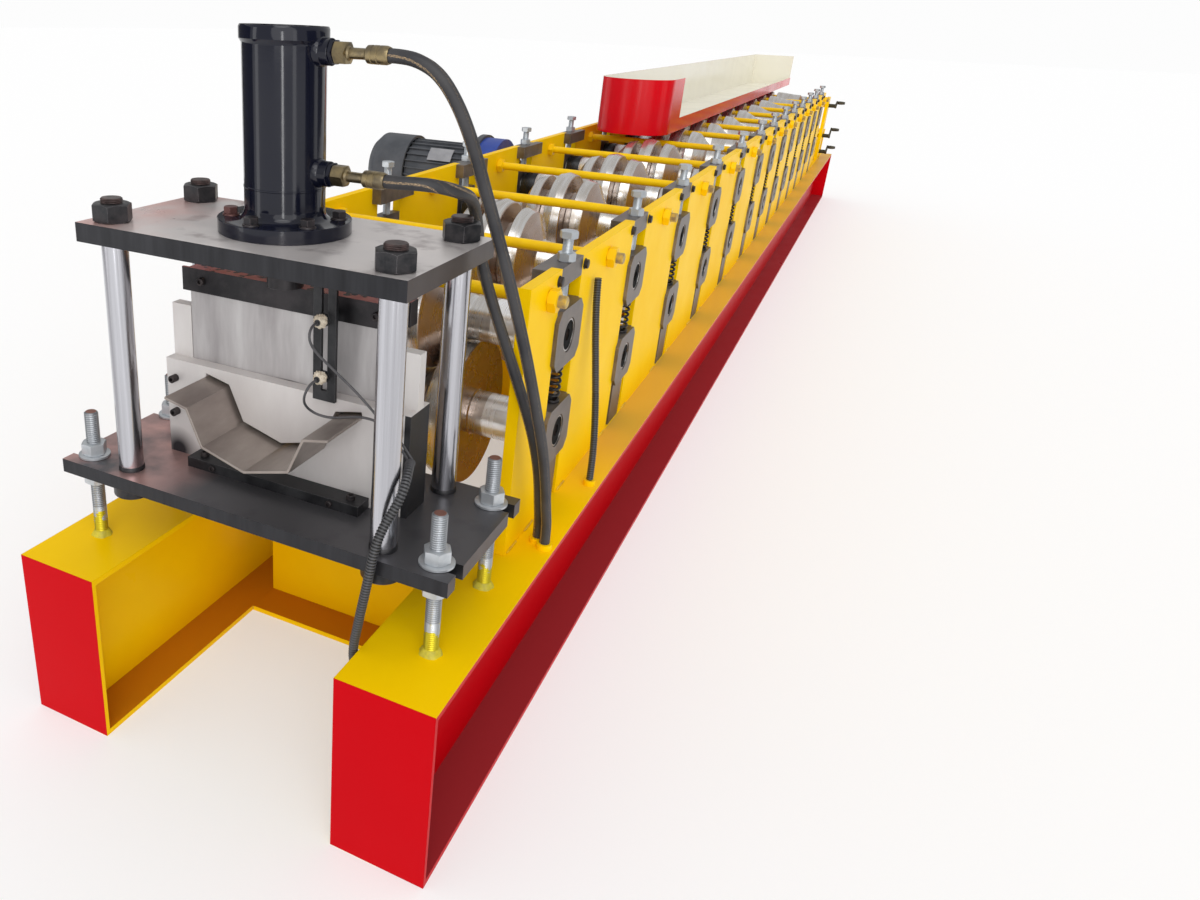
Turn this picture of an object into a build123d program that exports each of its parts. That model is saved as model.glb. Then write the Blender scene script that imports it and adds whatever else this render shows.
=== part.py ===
"""Roll forming machine: a welded beam base, thirteen pairs of profile rolls and a hydraulic cut-off press.

The strip enters at the far end (+Y), is bent step by step by the rolls and leaves through the press at
the front (-Y). The model is drawn with x = 0 on the machine's centre plane, y = 0 on the front face of
the base and z = 0 on the floor, and write() moves it to the centre of its own floor rectangle.
"""
import os
from math import atan2, cos, degrees, pi, radians, sin, tan

from build123d import *

os.makedirs("parts", exist_ok=True)

# Base: two long H-beams, cross beams between them, plates that close the beam ends
beam_height = 400.0
beam_width = 200.0
beam_web = 8.0
beam_flange = 13.0
base_width = 970.0
base_length = 8790.0
end_plate = 10.0
cross_beam_first_y = 646.0
cross_beam_count = 6
beam_x = base_width / 2 - beam_width / 2
beam_inner_x = base_width / 2 - beam_width

# Roll stations: the last six are wide apart, the seven on the entry side are closer
station_first_y = 804.0
wide_pitch = 610.0
wide_pitches = 5
close_pitch = 500.0
close_pitches = 7
station_ys = [station_first_y + wide_pitch * step for step in range(wide_pitches + 1)]
station_ys += [station_ys[-1] + close_pitch * step for step in range(1, close_pitches + 1)]
lower_shaft_z = 600.0
upper_shaft_z = 835.0

# Side plates that stand on the beams, with an open slot at each station
plate_thickness = 25.0
plate_inner_x = 373.0
plate_outer_x = plate_inner_x + plate_thickness
plate_top_z = 1000.0
plate_front_y = 535.0
plate_last_length = 221.0
slot_width = 150.0

# Bearing blocks in the slots
block_fit = 0.5
block_height = 140.0
block_flange_width = 176.0
block_flange_depth = 10.0
block_corner = 22.0
journal_radius = 39.0
journal_fit = 0.8
pedestal_width = 100.0
shaft_end_x = 386.0
spring_radius = 18.0

# Caps over the slots, with the screw that presses on the upper block
cap_height = 45.0
cap_bar_depth = 30.0
cap_bar_length = 220.0
screw_radius = 12.0
screw_fit = 0.5
screw_inset = 8.0
screw_head_width = 36.0
screw_head_height = 16.0
screw_top_z = 1066.0
lock_nut_height = 19.0

# Tie rods between the side plates
rod_radius = 14.0
rod_fit = 0.4
rod_z = 950.0
rod_end = 38.0
rod_nut_width = 46.0
rod_nut_height = 20.0
first_rod_y = 660.0

# Strip section, as lengths and angles of half of it, from its middle to its edge
strip_thickness = 5.0
strip_middle_z = 669.5
web_length = 103.0
web_angle = 15.5
wall_length = 80.0
wall_angle = 65.5
lip_length = 53.0
lip_angle = 12.0
roll_gap = 5.0

# Rolls
sleeve_radius = 54.0
sleeve_end_x = 366.0
spacer_radius = 96.0
middle_disc_half = 28.0
outer_disc_start = 62.0
lower_disc_land = 16.0

# Chain drive on the left side
sprocket_radius = 88.0
sprocket_width = 14.0
sprocket_x = -424.0
chain_running_gap = 0.8
hub_gap = 4.0
chain_width = 22.0
chain_depth = 20.0
motor_chain_x = -452.0
motor_chain_station = 4
sprocket_hub_radius = 45.0

# Motor and gear reducer, with their axis across the machine
motor_y = 2700.0
motor_z = 832.0
motor_end_x = -1090.0
fan_cover_end_x = -905.0
motor_flange_x = -600.0
motor_flange_depth = 24.0
gearbox_end_x = -492.0
motor_radius = 138.0
fan_cover_radius = 150.0
motor_flange_radius = 181.0
gearbox_radius = 170.0
fin_count = 28
fin_height = 10.0
fin_thickness = 5.0
cover_taper = 34.0
cover_end_radius = 118.0
terminal_box = 110.0
terminal_box_depth = 60.0
output_boss_radius = 85.0
output_shaft_radius = 30.0
stand_plate = 20.0
stand_half_depth = 190.0
stand_leg = 60.0
foot_height = 30.0
foot_overlap = 14.0

# Chain guard, taken off and laid over the entry side
guard_left_x = -300.0
guard_width = 330.0
guard_front_y = 3260.0
guard_end_y = 8400.0
guard_floor_z = 1005.0
guard_height = 240.0
guard_lip = 60.0
guard_sheet = 3.0
guard_high_length = 370.0

# Entry guide behind the last station
guide_table_z = 640.0
guide_table_plate = 12.0
guide_start_y = 7700.0
guide_end_y = 8560.0
guide_post = 50.0
guide_bar_height = 60.0
guide_bar_width = 30.0
guide_bar_x = 255.0
guide_stand_y = 8280.0
guide_stand_length = 160.0
guide_stand_top_z = 930.0
guide_shaft_radius = 16.0
guide_shaft_fit = 0.4
guide_shaft_zs = [470.0, 606.0, 860.0]
guide_shaft_end_x = 462.0
crank_width = 30.0
crank_thickness = 12.0
crank_length = 110.0
crank_angles = [16.0, 26.0, 11.0]
crank_grip_radius = 11.0
crank_grip_length = 58.0

# Cut-off press: its plates, studs and guide pillars
press_y = 280.0
lower_plate_half_x = 446.0
lower_plate_half_y = 176.0
lower_plate_thickness = 30.0
lower_plate_top_z = 593.0
upper_plate_half_x = 343.0
upper_plate_half_y = 179.0
upper_plate_thickness = 36.0
upper_plate_top_z = 1107.0
pillar_x = 296.0
pillar_half_y = 130.0
pillar_radius = 25.0
pillar_nut_width = 65.0
pillar_nut_height = 34.0
pillar_thread_radius = 21.0
pillar_thread_end = 10.0
pillar_foot_radius = 40.0
pillar_foot_height = 26.0
pillar_fit = 0.4
stud_x = 402.0
stud_half_y = 127.0
stud_radius = 15.0
stud_slot_width = 34.0
stud_top_z = 695.0
stud_nut_width = 46.0
stud_nut_height = 26.0
stud_washer_radius = 33.0
stud_washer = 6.0

# Cylinder on the press
barrel_radius = 73.5
barrel_top_z = 1456.0
barrel_cap_radius = 78.0
barrel_cap_height = 36.0
barrel_flange_radius = 123.0
barrel_flange_height = 25.0
ram_rod_radius = 35.0
ram_rod_fit = 0.8
stroke = 140.0

# Dies, blade and its holder
die_front_y = 262.0
die_thickness = 28.0
die_half_x = 285.0
die_top_z = 806.0
die_slot_seat = 0.3
die_slot_head = 8.0
blade_slot = 24.0
blade_fit = 1.0
blade_half_x = 236.0
blade_guide_top_z = 918.0
blade_bottom_z = 797.0
blade_rise = 10.0
holder_half_x = 246.0
holder_front_y = 279.0
holder_depth = 70.0
holder_bottom_z = 954.0
holder_top_z = 1002.0
holder_guide_gap = 5.0
clamp_half_x = 204.0
clamp_depth = 44.0
clamp_height = 22.0
strip_front_y = 135.0
rail_x = 108.0
rail_width = 48.0
rail_thickness = 8.0
rail_bottom_z = 803.0
rail_gap = 8.0
rail_slot_width = 14.0
rail_slot_end = 20.0
sensor_zs = [854.0, 964.0]
sensor_radius = 6.0
sensor_length = 34.0
sensor_nut_width = 22.0
sensor_nut_height = 6.0

# Cylinder ports, all on the right side, with the end pieces of the hoses
port_zs = [1218.0, 1418.0]
port_boss_radius = 22.0
port_boss_end_x = 96.0
port_nut_width = 36.0
port_nut_end_x = 122.0
port_tube_radius = 9.0
port_tube_end_x = 150.0
ferrule_radius = 15.0
ferrule_end_x = 205.0

# Hoses and conduits: half thicknesses, and the bushes in the beams where they end
hose_radius = 11.5
conduit_radius = 9.0
cable_radius = 2.5
bush_wall = 6.0
bush_height = 14.0

# The floor rectangle that the whole machine covers, whose centre is the origin
machine_right_x = guide_shaft_end_x + crank_grip_length
to_origin = Location((-(motor_end_x + machine_right_x) / 2, -base_length / 2, 0))


def write(piece, name):
    """Label a finished piece, move it to the origin and store it."""
    placed = piece.part.moved(to_origin)
    placed.label = name
    export_step(placed, f"parts/{name}.step")


def block(x_ends, y_ends, z_ends, mode=Mode.ADD):
    """A rectangular block between two places on each axis, in the piece being built."""
    sizes = [abs(ends[1] - ends[0]) for ends in (x_ends, y_ends, z_ends)]
    middle = tuple((ends[0] + ends[1]) / 2 for ends in (x_ends, y_ends, z_ends))
    with Locations(middle):
        Box(*sizes, mode=mode)


def mirrored(half):
    """Complete the profile of a right half with its left half."""
    return [(-x, z) for x, z in reversed(half) if x > 0] + half


def strip_half(share):
    """Middle line of half of the strip when its bends have reached this share of their full angle."""
    angles = [web_angle, wall_angle, lip_angle + (1 - share) * (wall_angle - lip_angle) * share]
    x = 0.0
    z = strip_middle_z
    points = [(x, z)]
    for length, angle in zip([web_length, wall_length, lip_length], angles):
        x += length * cos(radians(angle * share))
        z += length * sin(radians(angle * share))
        points.append((x, z))
    return points


def beside(points, distance):
    """The line that runs beside a line of points, this far on its upper side."""
    headings = [atan2(b[1] - a[1], b[0] - a[0]) for a, b in zip(points, points[1:])]
    before = [headings[0]] + headings
    after = headings + [headings[-1]]
    result = []
    for (x, z), first, second in zip(points, before, after):
        middle = (first + second) / 2 + pi / 2
        reach = distance / cos((second - first) / 2)
        result.append((x + reach * cos(middle), z + reach * sin(middle)))
    return result


def height_at(points, x):
    """Height of a line of points at one place, found between its two nearest points."""
    for (x0, z0), (x1, z1) in zip(points, points[1:]):
        if x0 <= x <= x1:
            return z0 + (z1 - z0) * (x - x0) / (x1 - x0)
    return points[-1][1]


# Routes of the hoses, conduits and cables, from the machine's fittings to where they end
upper_hose_route = [(ferrule_end_x, press_y, port_zs[1]), (224, 280, 1418), (254, 281, 1414),
                    (290, 287, 1396), (318, 303, 1352), (338, 326, 1293), (354, 352, 1222),
                    (372, 382, 1142), (392, 405, 1062), (414, 430, 968), (434, 456, 872), (450, 486, 772),
                    (462, 518, 680), (464, 556, 592), (463, 588, 512), (462, 614, 458),
                    (462, 614, beam_height + bush_height)]
lower_hose_route = [(ferrule_end_x, press_y, port_zs[0]), (222, 280, 1218), (250, 284, 1219),
                    (281, 297, 1218), (305, 327, 1210), (313, 366, 1198), (308, 410, 1185),
                    (300, 452, 1163), (295, 485, 1125), (297, 500, 1075), (310, 508, 1020),
                    (332, 512, 960), (358, 514, 900), (388, 516, 830), (416, 526, 755), (434, 550, 675),
                    (441, 582, 590), (441, 611, 502), (440, 632, 450), (440, 632, beam_height + bush_height)]
press_conduit_route = [(305, 229, 731), (312, 209, 741), (323, 184, 747), (332, 160, 741),
                       (336, 138, 724), (331, 121, 699), (321, 108, 674), (313, 97, 645), (308, 89, 613),
                       (304, 86, 578), (298, 85, 539), (290, 86, 496), (281, 90, 450), (272, 93, 404),
                       (270, 98, 362), (283, 104, 327), (308, 110, 306), (342, 114, 300), (359, 116, 299),
                       (beam_x - beam_web / 2, 116, 299)]
plate_conduit_route = [(plate_outer_x + 12, 985, 925), (412, 985, 880), (420, 984, 800), (434, 982, 700),
                       (448, 978, 600), (458, 972, 500), (460, 968, 442),
                       (460, 968, beam_height + bush_height)]
upper_cable_route = [(rail_x, 219, sensor_zs[1]), (108, 206, 964), (109, 194, 956), (110, 190, 943),
                     (113, 194, 929), (120, 201, 914), (132, 211, 897), (153, 223, 873), (182, 232, 846),
                     (216, 235, 816), (250, 235, 786), (278, 233, 758), (300, 233, 730)]
lower_cable_route = [(rail_x, 219, sensor_zs[0]), (107, 207, 853), (104, 196, 845), (100, 192, 832),
                     (96, 195, 818), (95, 204, 804), (100, 214, 792), (112, 223, 783), (130, 229, 780),
                     (150, 232, 783), (172, 235, 789), (198, 238, 794), (226, 240, 792), (252, 241, 782),
                     (274, 242, 764), (292, 241, 745), (306, 239, 729)]
lines = {"upper_hose": (upper_hose_route, hose_radius), "lower_hose": (lower_hose_route, hose_radius),
         "press_conduit": (press_conduit_route, conduit_radius),
         "plate_conduit": (plate_conduit_route, conduit_radius),
         "sensor_cable_upper": (upper_cable_route, cable_radius),
         "sensor_cable_lower": (lower_cable_route, cable_radius)}
line_ends = [lines["upper_hose"], lines["lower_hose"], lines["plate_conduit"]]

# The bend share at each station: full at the exit, almost flat at the entry
shares = [1.0 - 0.985 * max(0, step - 1) / (len(station_ys) - 2) for step in range(len(station_ys))]
sides = {"left": -1, "right": 1}

# Long beams of the base, closed by a plate at each end; the right one has bushes for the lines that end in it
for side, sign in sides.items():
    with BuildPart() as base_beam:
        with BuildSketch(Plane.XZ.offset(-end_plate)):
            with Locations((sign * beam_x, beam_height / 2)):
                Rectangle(beam_web, beam_height)
            for flange_z in (beam_flange / 2, beam_height - beam_flange / 2):
                with Locations((sign * beam_x, flange_z)):
                    Rectangle(beam_width, beam_flange)
        extrude(amount=-(base_length - 2 * end_plate))
        for front in (0, base_length - end_plate):
            block((sign * beam_inner_x, sign * base_width / 2), (front, front + end_plate), (0, beam_height))
        if side == "right":
            for route, radius in line_ends:
                with BuildSketch(Plane.XY.offset(beam_height)):
                    with Locations(route[-1][:2]):
                        Circle(radius + bush_wall)
                extrude(amount=bush_height)
    write(base_beam, f"base_beam_{side}")

# Cross beams, from the open front bay to the entry end
cross_beam_last_y = base_length - end_plate - beam_width / 2
cross_beam_step = (cross_beam_last_y - cross_beam_first_y) / (cross_beam_count - 1)
with BuildPart() as cross_beams:
    with BuildSketch(Plane.YZ.offset(-beam_inner_x)):
        for number in range(cross_beam_count):
            cross_y = cross_beam_first_y + cross_beam_step * number
            with Locations((cross_y, beam_height / 2)):
                Rectangle(beam_web, beam_height)
            for flange_z in (beam_flange / 2, beam_height - beam_flange / 2):
                with Locations((cross_y, flange_z)):
                    Rectangle(beam_width, beam_flange)
    extrude(amount=2 * beam_inner_x)
write(cross_beams, "cross_beams")

# Side plates: one between each two stations, and one at each end of the row
slot_fronts = [y - slot_width / 2 for y in station_ys]
slot_backs = [y + slot_width / 2 for y in station_ys]
plate_starts = [plate_front_y] + slot_backs
plate_ends = slot_fronts + [slot_backs[-1] + plate_last_length]
rod_ys = [first_rod_y] + [(start + end) / 2 for start, end in list(zip(plate_starts, plate_ends))[1:]]
with BuildPart() as side_plates:
    for sign in sides.values():
        with BuildSketch(Plane.YZ.offset(sign * plate_inner_x)):
            for start, end in zip(plate_starts, plate_ends):
                with Locations(((start + end) / 2, (beam_height + plate_top_z) / 2)):
                    Rectangle(end - start, plate_top_z - beam_height)
            for rod_y in rod_ys:
                with Locations((rod_y, rod_z)):
                    Circle(rod_radius + rod_fit, mode=Mode.SUBTRACT)
        extrude(amount=sign * plate_thickness)
write(side_plates, "side_plates")

# Tie rods, each with a nut on both faces of both plates
with BuildPart() as tie_rods:
    rod_end_x = plate_outer_x + rod_end
    with BuildSketch(Plane.YZ.offset(-rod_end_x)):
        for rod_y in rod_ys:
            with Locations((rod_y, rod_z)):
                Circle(rod_radius)
    extrude(amount=2 * rod_end_x)
    for nut_x in (-plate_outer_x - rod_nut_height, -plate_inner_x, plate_inner_x - rod_nut_height, plate_outer_x):
        with BuildSketch(Plane.YZ.offset(nut_x)):
            for rod_y in rod_ys:
                with Locations((rod_y, rod_z)):
                    RegularPolygon(rod_nut_width / 2, 6, major_radius=False)
        extrude(amount=rod_nut_height)
write(tie_rods, "tie_rods")


# Bearing blocks: the lower ones stand on pedestals, the upper ones on springs
with BuildPart() as bearing_blocks:
    for sign in sides.values():
        with BuildSketch(Plane.YZ.offset(sign * plate_inner_x)):
            for y in station_ys:
                with Locations((y, lower_shaft_z), (y, upper_shaft_z)):
                    Rectangle(slot_width - 2 * block_fit, block_height)
                with Locations((y, (beam_height + lower_shaft_z) / 2)):
                    Rectangle(pedestal_width, lower_shaft_z - beam_height)
        extrude(amount=sign * plate_thickness)
        with BuildSketch(Plane.YZ.offset(sign * plate_outer_x)) as flange:
            for y in station_ys:
                with Locations((y, lower_shaft_z), (y, upper_shaft_z)):
                    Rectangle(block_flange_width, block_height)
            chamfer(flange.vertices(), block_corner)
        extrude(amount=sign * block_flange_depth)
    with BuildSketch(Plane.YZ.offset(-base_width / 2)):
        for y in station_ys:
            with Locations((y, lower_shaft_z), (y, upper_shaft_z)):
                Circle(journal_radius + journal_fit)
    extrude(amount=base_width, mode=Mode.SUBTRACT)
write(bearing_blocks, "bearing_blocks")

# Springs between the lower and upper blocks
plate_middle_x = (plate_inner_x + plate_outer_x) / 2
spring_base_z = lower_shaft_z + block_height / 2
spring_height = upper_shaft_z - block_height / 2 - spring_base_z
with BuildPart() as block_springs:
    with BuildSketch(Plane.XY.offset(spring_base_z)):
        for sign in sides.values():
            for y in station_ys:
                with Locations((sign * plate_middle_x, y)):
                    Circle(spring_radius)
    extrude(amount=spring_height)
write(block_springs, "block_springs")

# Caps: a bar behind the plates with a tongue in the slot, bolted through the plates
screw_places = [(sign * (plate_inner_x + screw_inset), y) for sign in sides.values() for y in station_ys]
with BuildPart() as slot_caps:
    for sign in sides.values():
        for y in station_ys:
            bar_ends = (y - cap_bar_length / 2, y + cap_bar_length / 2)
            tongue_ends = (y - slot_width / 2 + block_fit, y + slot_width / 2 - block_fit)
            cap_z_ends = (plate_top_z - cap_height, plate_top_z)
            block((sign * (plate_inner_x - cap_bar_depth), sign * plate_inner_x), bar_ends, cap_z_ends)
            block((sign * plate_inner_x, sign * plate_outer_x), tongue_ends, cap_z_ends)
    with BuildSketch(Plane.XY.offset(plate_top_z - cap_height)):
        with Locations(*screw_places):
            Circle(screw_radius + screw_fit)
    extrude(amount=cap_height, mode=Mode.SUBTRACT)
write(slot_caps, "slot_caps")

# Adjusting screws with their lock nuts
upper_block_top_z = upper_shaft_z + block_height / 2
with BuildPart() as adjusting_screws:
    with BuildSketch(Plane.XY.offset(upper_block_top_z)):
        with Locations(*screw_places):
            Circle(screw_radius)
    extrude(amount=screw_top_z - upper_block_top_z)
    for foot_z, height in ((plate_top_z, lock_nut_height), (screw_top_z - screw_head_height, screw_head_height)):
        with BuildSketch(Plane.XY.offset(foot_z)):
            with Locations(*screw_places):
                RegularPolygon(screw_head_width / 2, 6, major_radius=False)
        extrude(amount=height)
write(adjusting_screws, "adjusting_screws")


def turned(profile, y, axis_z):
    """Revolve a profile of (place across, radius) points about one shaft's axis."""
    points = [(x, axis_z + radius) for x, radius in profile]
    points = [(points[0][0], axis_z)] + points + [(points[-1][0], axis_z)]
    with BuildPart() as roll:
        with BuildSketch(Plane.XZ.offset(-y)):
            with BuildLine():
                Polyline(*points, close=True)
            make_face()
        revolve(axis=Axis((0, y, axis_z), (1, 0, 0)))
    return roll


def upper_profile(share):
    """Three discs that press on the strip from above, with spacers between them."""
    face = beside(strip_half(share), roll_gap / 2)
    outer = [(x, upper_shaft_z - z) for x, z in face[1:]]
    middle, inner_edge, outer_edge = [upper_shaft_z - height_at(face, x)
                                      for x in (0.0, middle_disc_half, outer_disc_start)]
    half = [(0.0, middle), (middle_disc_half, inner_edge), (middle_disc_half, spacer_radius)]
    half += [(outer_disc_start, spacer_radius), (outer_disc_start, outer_edge)]
    half += outer + [(outer[-1][0], sleeve_radius)]
    half += [(sleeve_end_x, sleeve_radius), (sleeve_end_x, journal_radius), (shaft_end_x, journal_radius)]
    return mirrored(half)


def lower_profile(share):
    """One wide roll that carries the strip from below and holds its walls and lips."""
    face = beside(strip_half(share), -roll_gap / 2)
    half = [(0.0, face[0][1] - lower_shaft_z)] + [(x, z - lower_shaft_z) for x, z in face[1:]]
    rim = (half[-1][0] + lower_disc_land, half[-1][1])
    half += [rim, (rim[0], sleeve_radius)]
    half += [(sleeve_end_x, sleeve_radius), (sleeve_end_x, journal_radius), (shaft_end_x, journal_radius)]
    return mirrored(half)


def driven(profile, sprocket_xs):
    """Lengthen the left end of a lower shaft and give it its sprockets, the outermost first."""
    points = []
    for middle_x in sprocket_xs:
        outer_x = middle_x - sprocket_width / 2
        inner_x = middle_x + sprocket_width / 2
        points += [(outer_x, sprocket_hub_radius), (outer_x, sprocket_radius), (inner_x, sprocket_radius),
                   (inner_x, sprocket_hub_radius)]
    hub_end_x = -plate_outer_x - block_flange_depth - hub_gap
    points += [(hub_end_x, sprocket_hub_radius), (hub_end_x, journal_radius)]
    return points + profile[1:]


for number, (y, share) in enumerate(zip(station_ys, shares), start=1):
    write(turned(upper_profile(share), y, upper_shaft_z), f"upper_rolls_{number:02d}")
    sprocket_xs = [motor_chain_x, sprocket_x] if number == motor_chain_station else [sprocket_x]
    write(turned(driven(lower_profile(share), sprocket_xs), y, lower_shaft_z), f"lower_rolls_{number:02d}")

# Drive chains: a long loop round all lower shafts and a short one up to the gear reducer
chain_inner = sprocket_radius + chain_running_gap
driven_station_y = station_ys[motor_chain_station - 1]
chain_runs = [(sprocket_x, (station_ys[0], lower_shaft_z), (station_ys[-1], lower_shaft_z)),
              (motor_chain_x, (driven_station_y, lower_shaft_z), (motor_y, motor_z))]
with BuildPart() as drive_chains:
    for middle_x, start, end in chain_runs:
        run = Vector(end[0] - start[0], end[1] - start[1])
        middle = ((start[0] + end[0]) / 2, (start[1] + end[1]) / 2)
        with BuildSketch(Plane.YZ.offset(middle_x - chain_width / 2)):
            with Locations(Location((*middle, 0), (0, 0, degrees(atan2(run.Y, run.X))))):
                SlotCenterToCenter(run.length, 2 * (chain_inner + chain_depth))
                SlotCenterToCenter(run.length, 2 * chain_inner, mode=Mode.SUBTRACT)
        extrude(amount=chain_width)
write(drive_chains, "drive_chains")

# Motor: a finned body with its terminal box and the flange that joins it to the reducer
motor_centre = (motor_y, motor_z)
with BuildPart() as motor:
    with BuildSketch(Plane.YZ.offset(fan_cover_end_x)):
        with Locations(motor_centre):
            Circle(motor_radius - fin_height)
            with PolarLocations(motor_radius - fin_height, fin_count):
                Rectangle(2 * fin_height, fin_thickness)
    extrude(amount=motor_flange_x - fan_cover_end_x)
    with BuildSketch(Plane.YZ.offset(motor_flange_x)):
        with Locations(motor_centre):
            Circle(motor_flange_radius)
    extrude(amount=motor_flange_depth)
    box_x = (fan_cover_end_x + motor_flange_x) / 2
    block((box_x - terminal_box / 2, box_x + terminal_box / 2),
          (motor_y + motor_radius - 2 * fin_height, motor_y + motor_radius + terminal_box_depth),
          (motor_z - terminal_box / 2, motor_z + terminal_box / 2))
write(motor, "motor")

with BuildPart() as motor_fan_cover:
    with BuildSketch(Plane.XZ.offset(-motor_y)):
        with BuildLine():
            Polyline((motor_end_x, motor_z), (motor_end_x, motor_z + cover_end_radius),
                     (motor_end_x + cover_taper, motor_z + fan_cover_radius),
                     (fan_cover_end_x, motor_z + fan_cover_radius), (fan_cover_end_x, motor_z), close=True)
        make_face()
    revolve(axis=Axis((0, motor_y, motor_z), (1, 0, 0)))
write(motor_fan_cover, "motor_fan_cover")

# Gear reducer: round housing on two feet, output boss, shaft and sprocket
gearbox_start_x = motor_flange_x + motor_flange_depth
stand_top_z = motor_z - gearbox_radius - foot_height
with BuildPart() as gear_reducer:
    with BuildSketch(Plane.XZ.offset(-motor_y)):
        with BuildLine():
            boss_x = motor_chain_x - chain_width / 2 - hub_gap
            sprocket_start_x = motor_chain_x - sprocket_width / 2
            Polyline((gearbox_start_x, motor_z), (gearbox_start_x, motor_z + gearbox_radius),
                     (gearbox_end_x, motor_z + gearbox_radius), (gearbox_end_x, motor_z + output_boss_radius),
                     (boss_x, motor_z + output_boss_radius), (boss_x, motor_z + output_shaft_radius),
                     (sprocket_start_x, motor_z + output_shaft_radius),
                     (sprocket_start_x, motor_z + sprocket_radius),
                     (sprocket_start_x + sprocket_width, motor_z + sprocket_radius),
                     (sprocket_start_x + sprocket_width, motor_z), close=True)
        make_face()
    revolve(axis=Axis((0, motor_y, motor_z), (1, 0, 0)))
    foot_ends = (gearbox_start_x, gearbox_end_x)
    block(foot_ends, (motor_y - gearbox_radius, motor_y + gearbox_radius),
          (stand_top_z, stand_top_z + foot_height + foot_overlap))
    for sign in (-1, 1):
        rib_y = motor_y + sign * gearbox_radius * 0.6
        block(foot_ends, (rib_y - foot_height / 2, rib_y + foot_height / 2), (stand_top_z, motor_z - gearbox_radius / 2))
write(gear_reducer, "gear_reducer")

with BuildPart() as motor_stand:
    plate_z_ends = (stand_top_z - stand_plate, stand_top_z)
    stand_start_x = fan_cover_end_x + 40
    stand_end_x = -base_width / 2
    stand_y_ends = (motor_y - stand_half_depth, motor_y + stand_half_depth)
    block((stand_start_x, gearbox_end_x + 20), stand_y_ends, plate_z_ends)
    for front in (stand_y_ends[0], stand_y_ends[1] - stand_leg):
        for left in (stand_start_x, stand_end_x - stand_leg):
            block((left, left + stand_leg), (front, front + stand_leg), (0, plate_z_ends[0]))
write(motor_stand, "motor_stand")

# Chain guard: a long open trough of sheet with one round end
guard_right_x = guard_left_x + guard_width
guard_middle_x = guard_left_x + guard_width / 2
guard_round_y = guard_front_y + guard_width / 2


def guard_plan(inset, z):
    """Outline of the guard seen from above, this far inside its outer face."""
    left = guard_left_x + inset
    right = guard_right_x - inset
    with BuildSketch(Plane.XY.offset(z)) as plan:
        with BuildLine():
            Line((left, guard_end_y - inset), (left, guard_round_y))
            ThreePointArc((left, guard_round_y), (guard_middle_x, guard_front_y + inset), (right, guard_round_y))
            Line((right, guard_round_y), (right, guard_end_y - inset))
            Line((right, guard_end_y - inset), (left, guard_end_y - inset))
        make_face()
    return plan.sketch


with BuildPart() as chain_guard:
    extrude(guard_plan(0, guard_floor_z), amount=guard_height)
    extrude(guard_plan(guard_sheet, guard_floor_z + guard_sheet), amount=guard_height, mode=Mode.SUBTRACT)
    block((guard_right_x - 2 * guard_sheet, guard_right_x + guard_sheet),
          (guard_front_y + guard_high_length, guard_end_y + guard_sheet),
          (guard_floor_z + guard_lip, guard_floor_z + 2 * guard_height), mode=Mode.SUBTRACT)
write(chain_guard, "chain_guard")

# Entry guide: two stands with cross shafts, a table and two guide bars; each shaft has a crank on the right
with BuildPart() as entry_guide:
    stand_ends = (guide_stand_y - guide_stand_length / 2, guide_stand_y + guide_stand_length / 2)
    for sign in sides.values():
        block((sign * plate_inner_x, sign * plate_outer_x), stand_ends, (beam_height, guide_stand_top_z))
    block((-plate_inner_x, plate_inner_x), (guide_start_y, guide_end_y), (guide_table_z - guide_table_plate, guide_table_z))
    for sign in sides.values():
        for post_y in (guide_start_y + guide_post / 2, guide_end_y - guide_post / 2):
            block((sign * plate_inner_x - guide_post / 2, sign * plate_inner_x + guide_post / 2),
                  (post_y - guide_post / 2, post_y + guide_post / 2), (beam_height, guide_table_z))
        block((sign * guide_bar_x, sign * (guide_bar_x + guide_bar_width)), (guide_start_y, guide_end_y),
              (guide_table_z, guide_table_z + guide_bar_height))
    for shaft_z, angle in zip(guide_shaft_zs, crank_angles):
        with BuildSketch(Plane.YZ.offset(-plate_outer_x - guide_post)):
            with Locations((guide_stand_y, shaft_z)):
                Circle(guide_shaft_radius)
        extrude(amount=guide_shaft_end_x + plate_outer_x + guide_post)
        reach = (crank_length * cos(radians(angle)), crank_length * sin(radians(angle)))
        with BuildSketch(Plane.YZ.offset(guide_shaft_end_x)):
            with Locations(Location((guide_stand_y + reach[0] / 2, shaft_z + reach[1] / 2, 0), (0, 0, angle))):
                SlotCenterToCenter(crank_length, crank_width)
        extrude(amount=-crank_thickness)
        with BuildSketch(Plane.YZ.offset(guide_shaft_end_x)):
            with Locations((guide_stand_y + reach[0], shaft_z + reach[1])):
                Circle(crank_grip_radius)
        extrude(amount=crank_grip_length)
write(entry_guide, "entry_guide")

# Press plates
pillar_places = [(sign * pillar_x, press_y + front * pillar_half_y) for sign in (-1, 1) for front in (-1, 1)]
stud_places = [(sign * stud_x, press_y + front * stud_half_y) for sign in (-1, 1) for front in (-1, 1)]
lower_plate_z = lower_plate_top_z - lower_plate_thickness
upper_plate_z = upper_plate_top_z - upper_plate_thickness
with BuildPart() as press_lower_plate:
    with BuildSketch(Plane.XY.offset(lower_plate_z)):
        with Locations((0, press_y)):
            Rectangle(2 * lower_plate_half_x, 2 * lower_plate_half_y)
        with Locations(*stud_places):
            Circle(stud_slot_width / 2, mode=Mode.SUBTRACT)
        for x, y in stud_places:
            with Locations((1.5 * x, y)):
                Rectangle(stud_x, stud_slot_width, mode=Mode.SUBTRACT)
        with Locations(*pillar_places):
            Circle(pillar_radius + pillar_fit, mode=Mode.SUBTRACT)
    extrude(amount=lower_plate_thickness)
write(press_lower_plate, "press_lower_plate")

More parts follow.
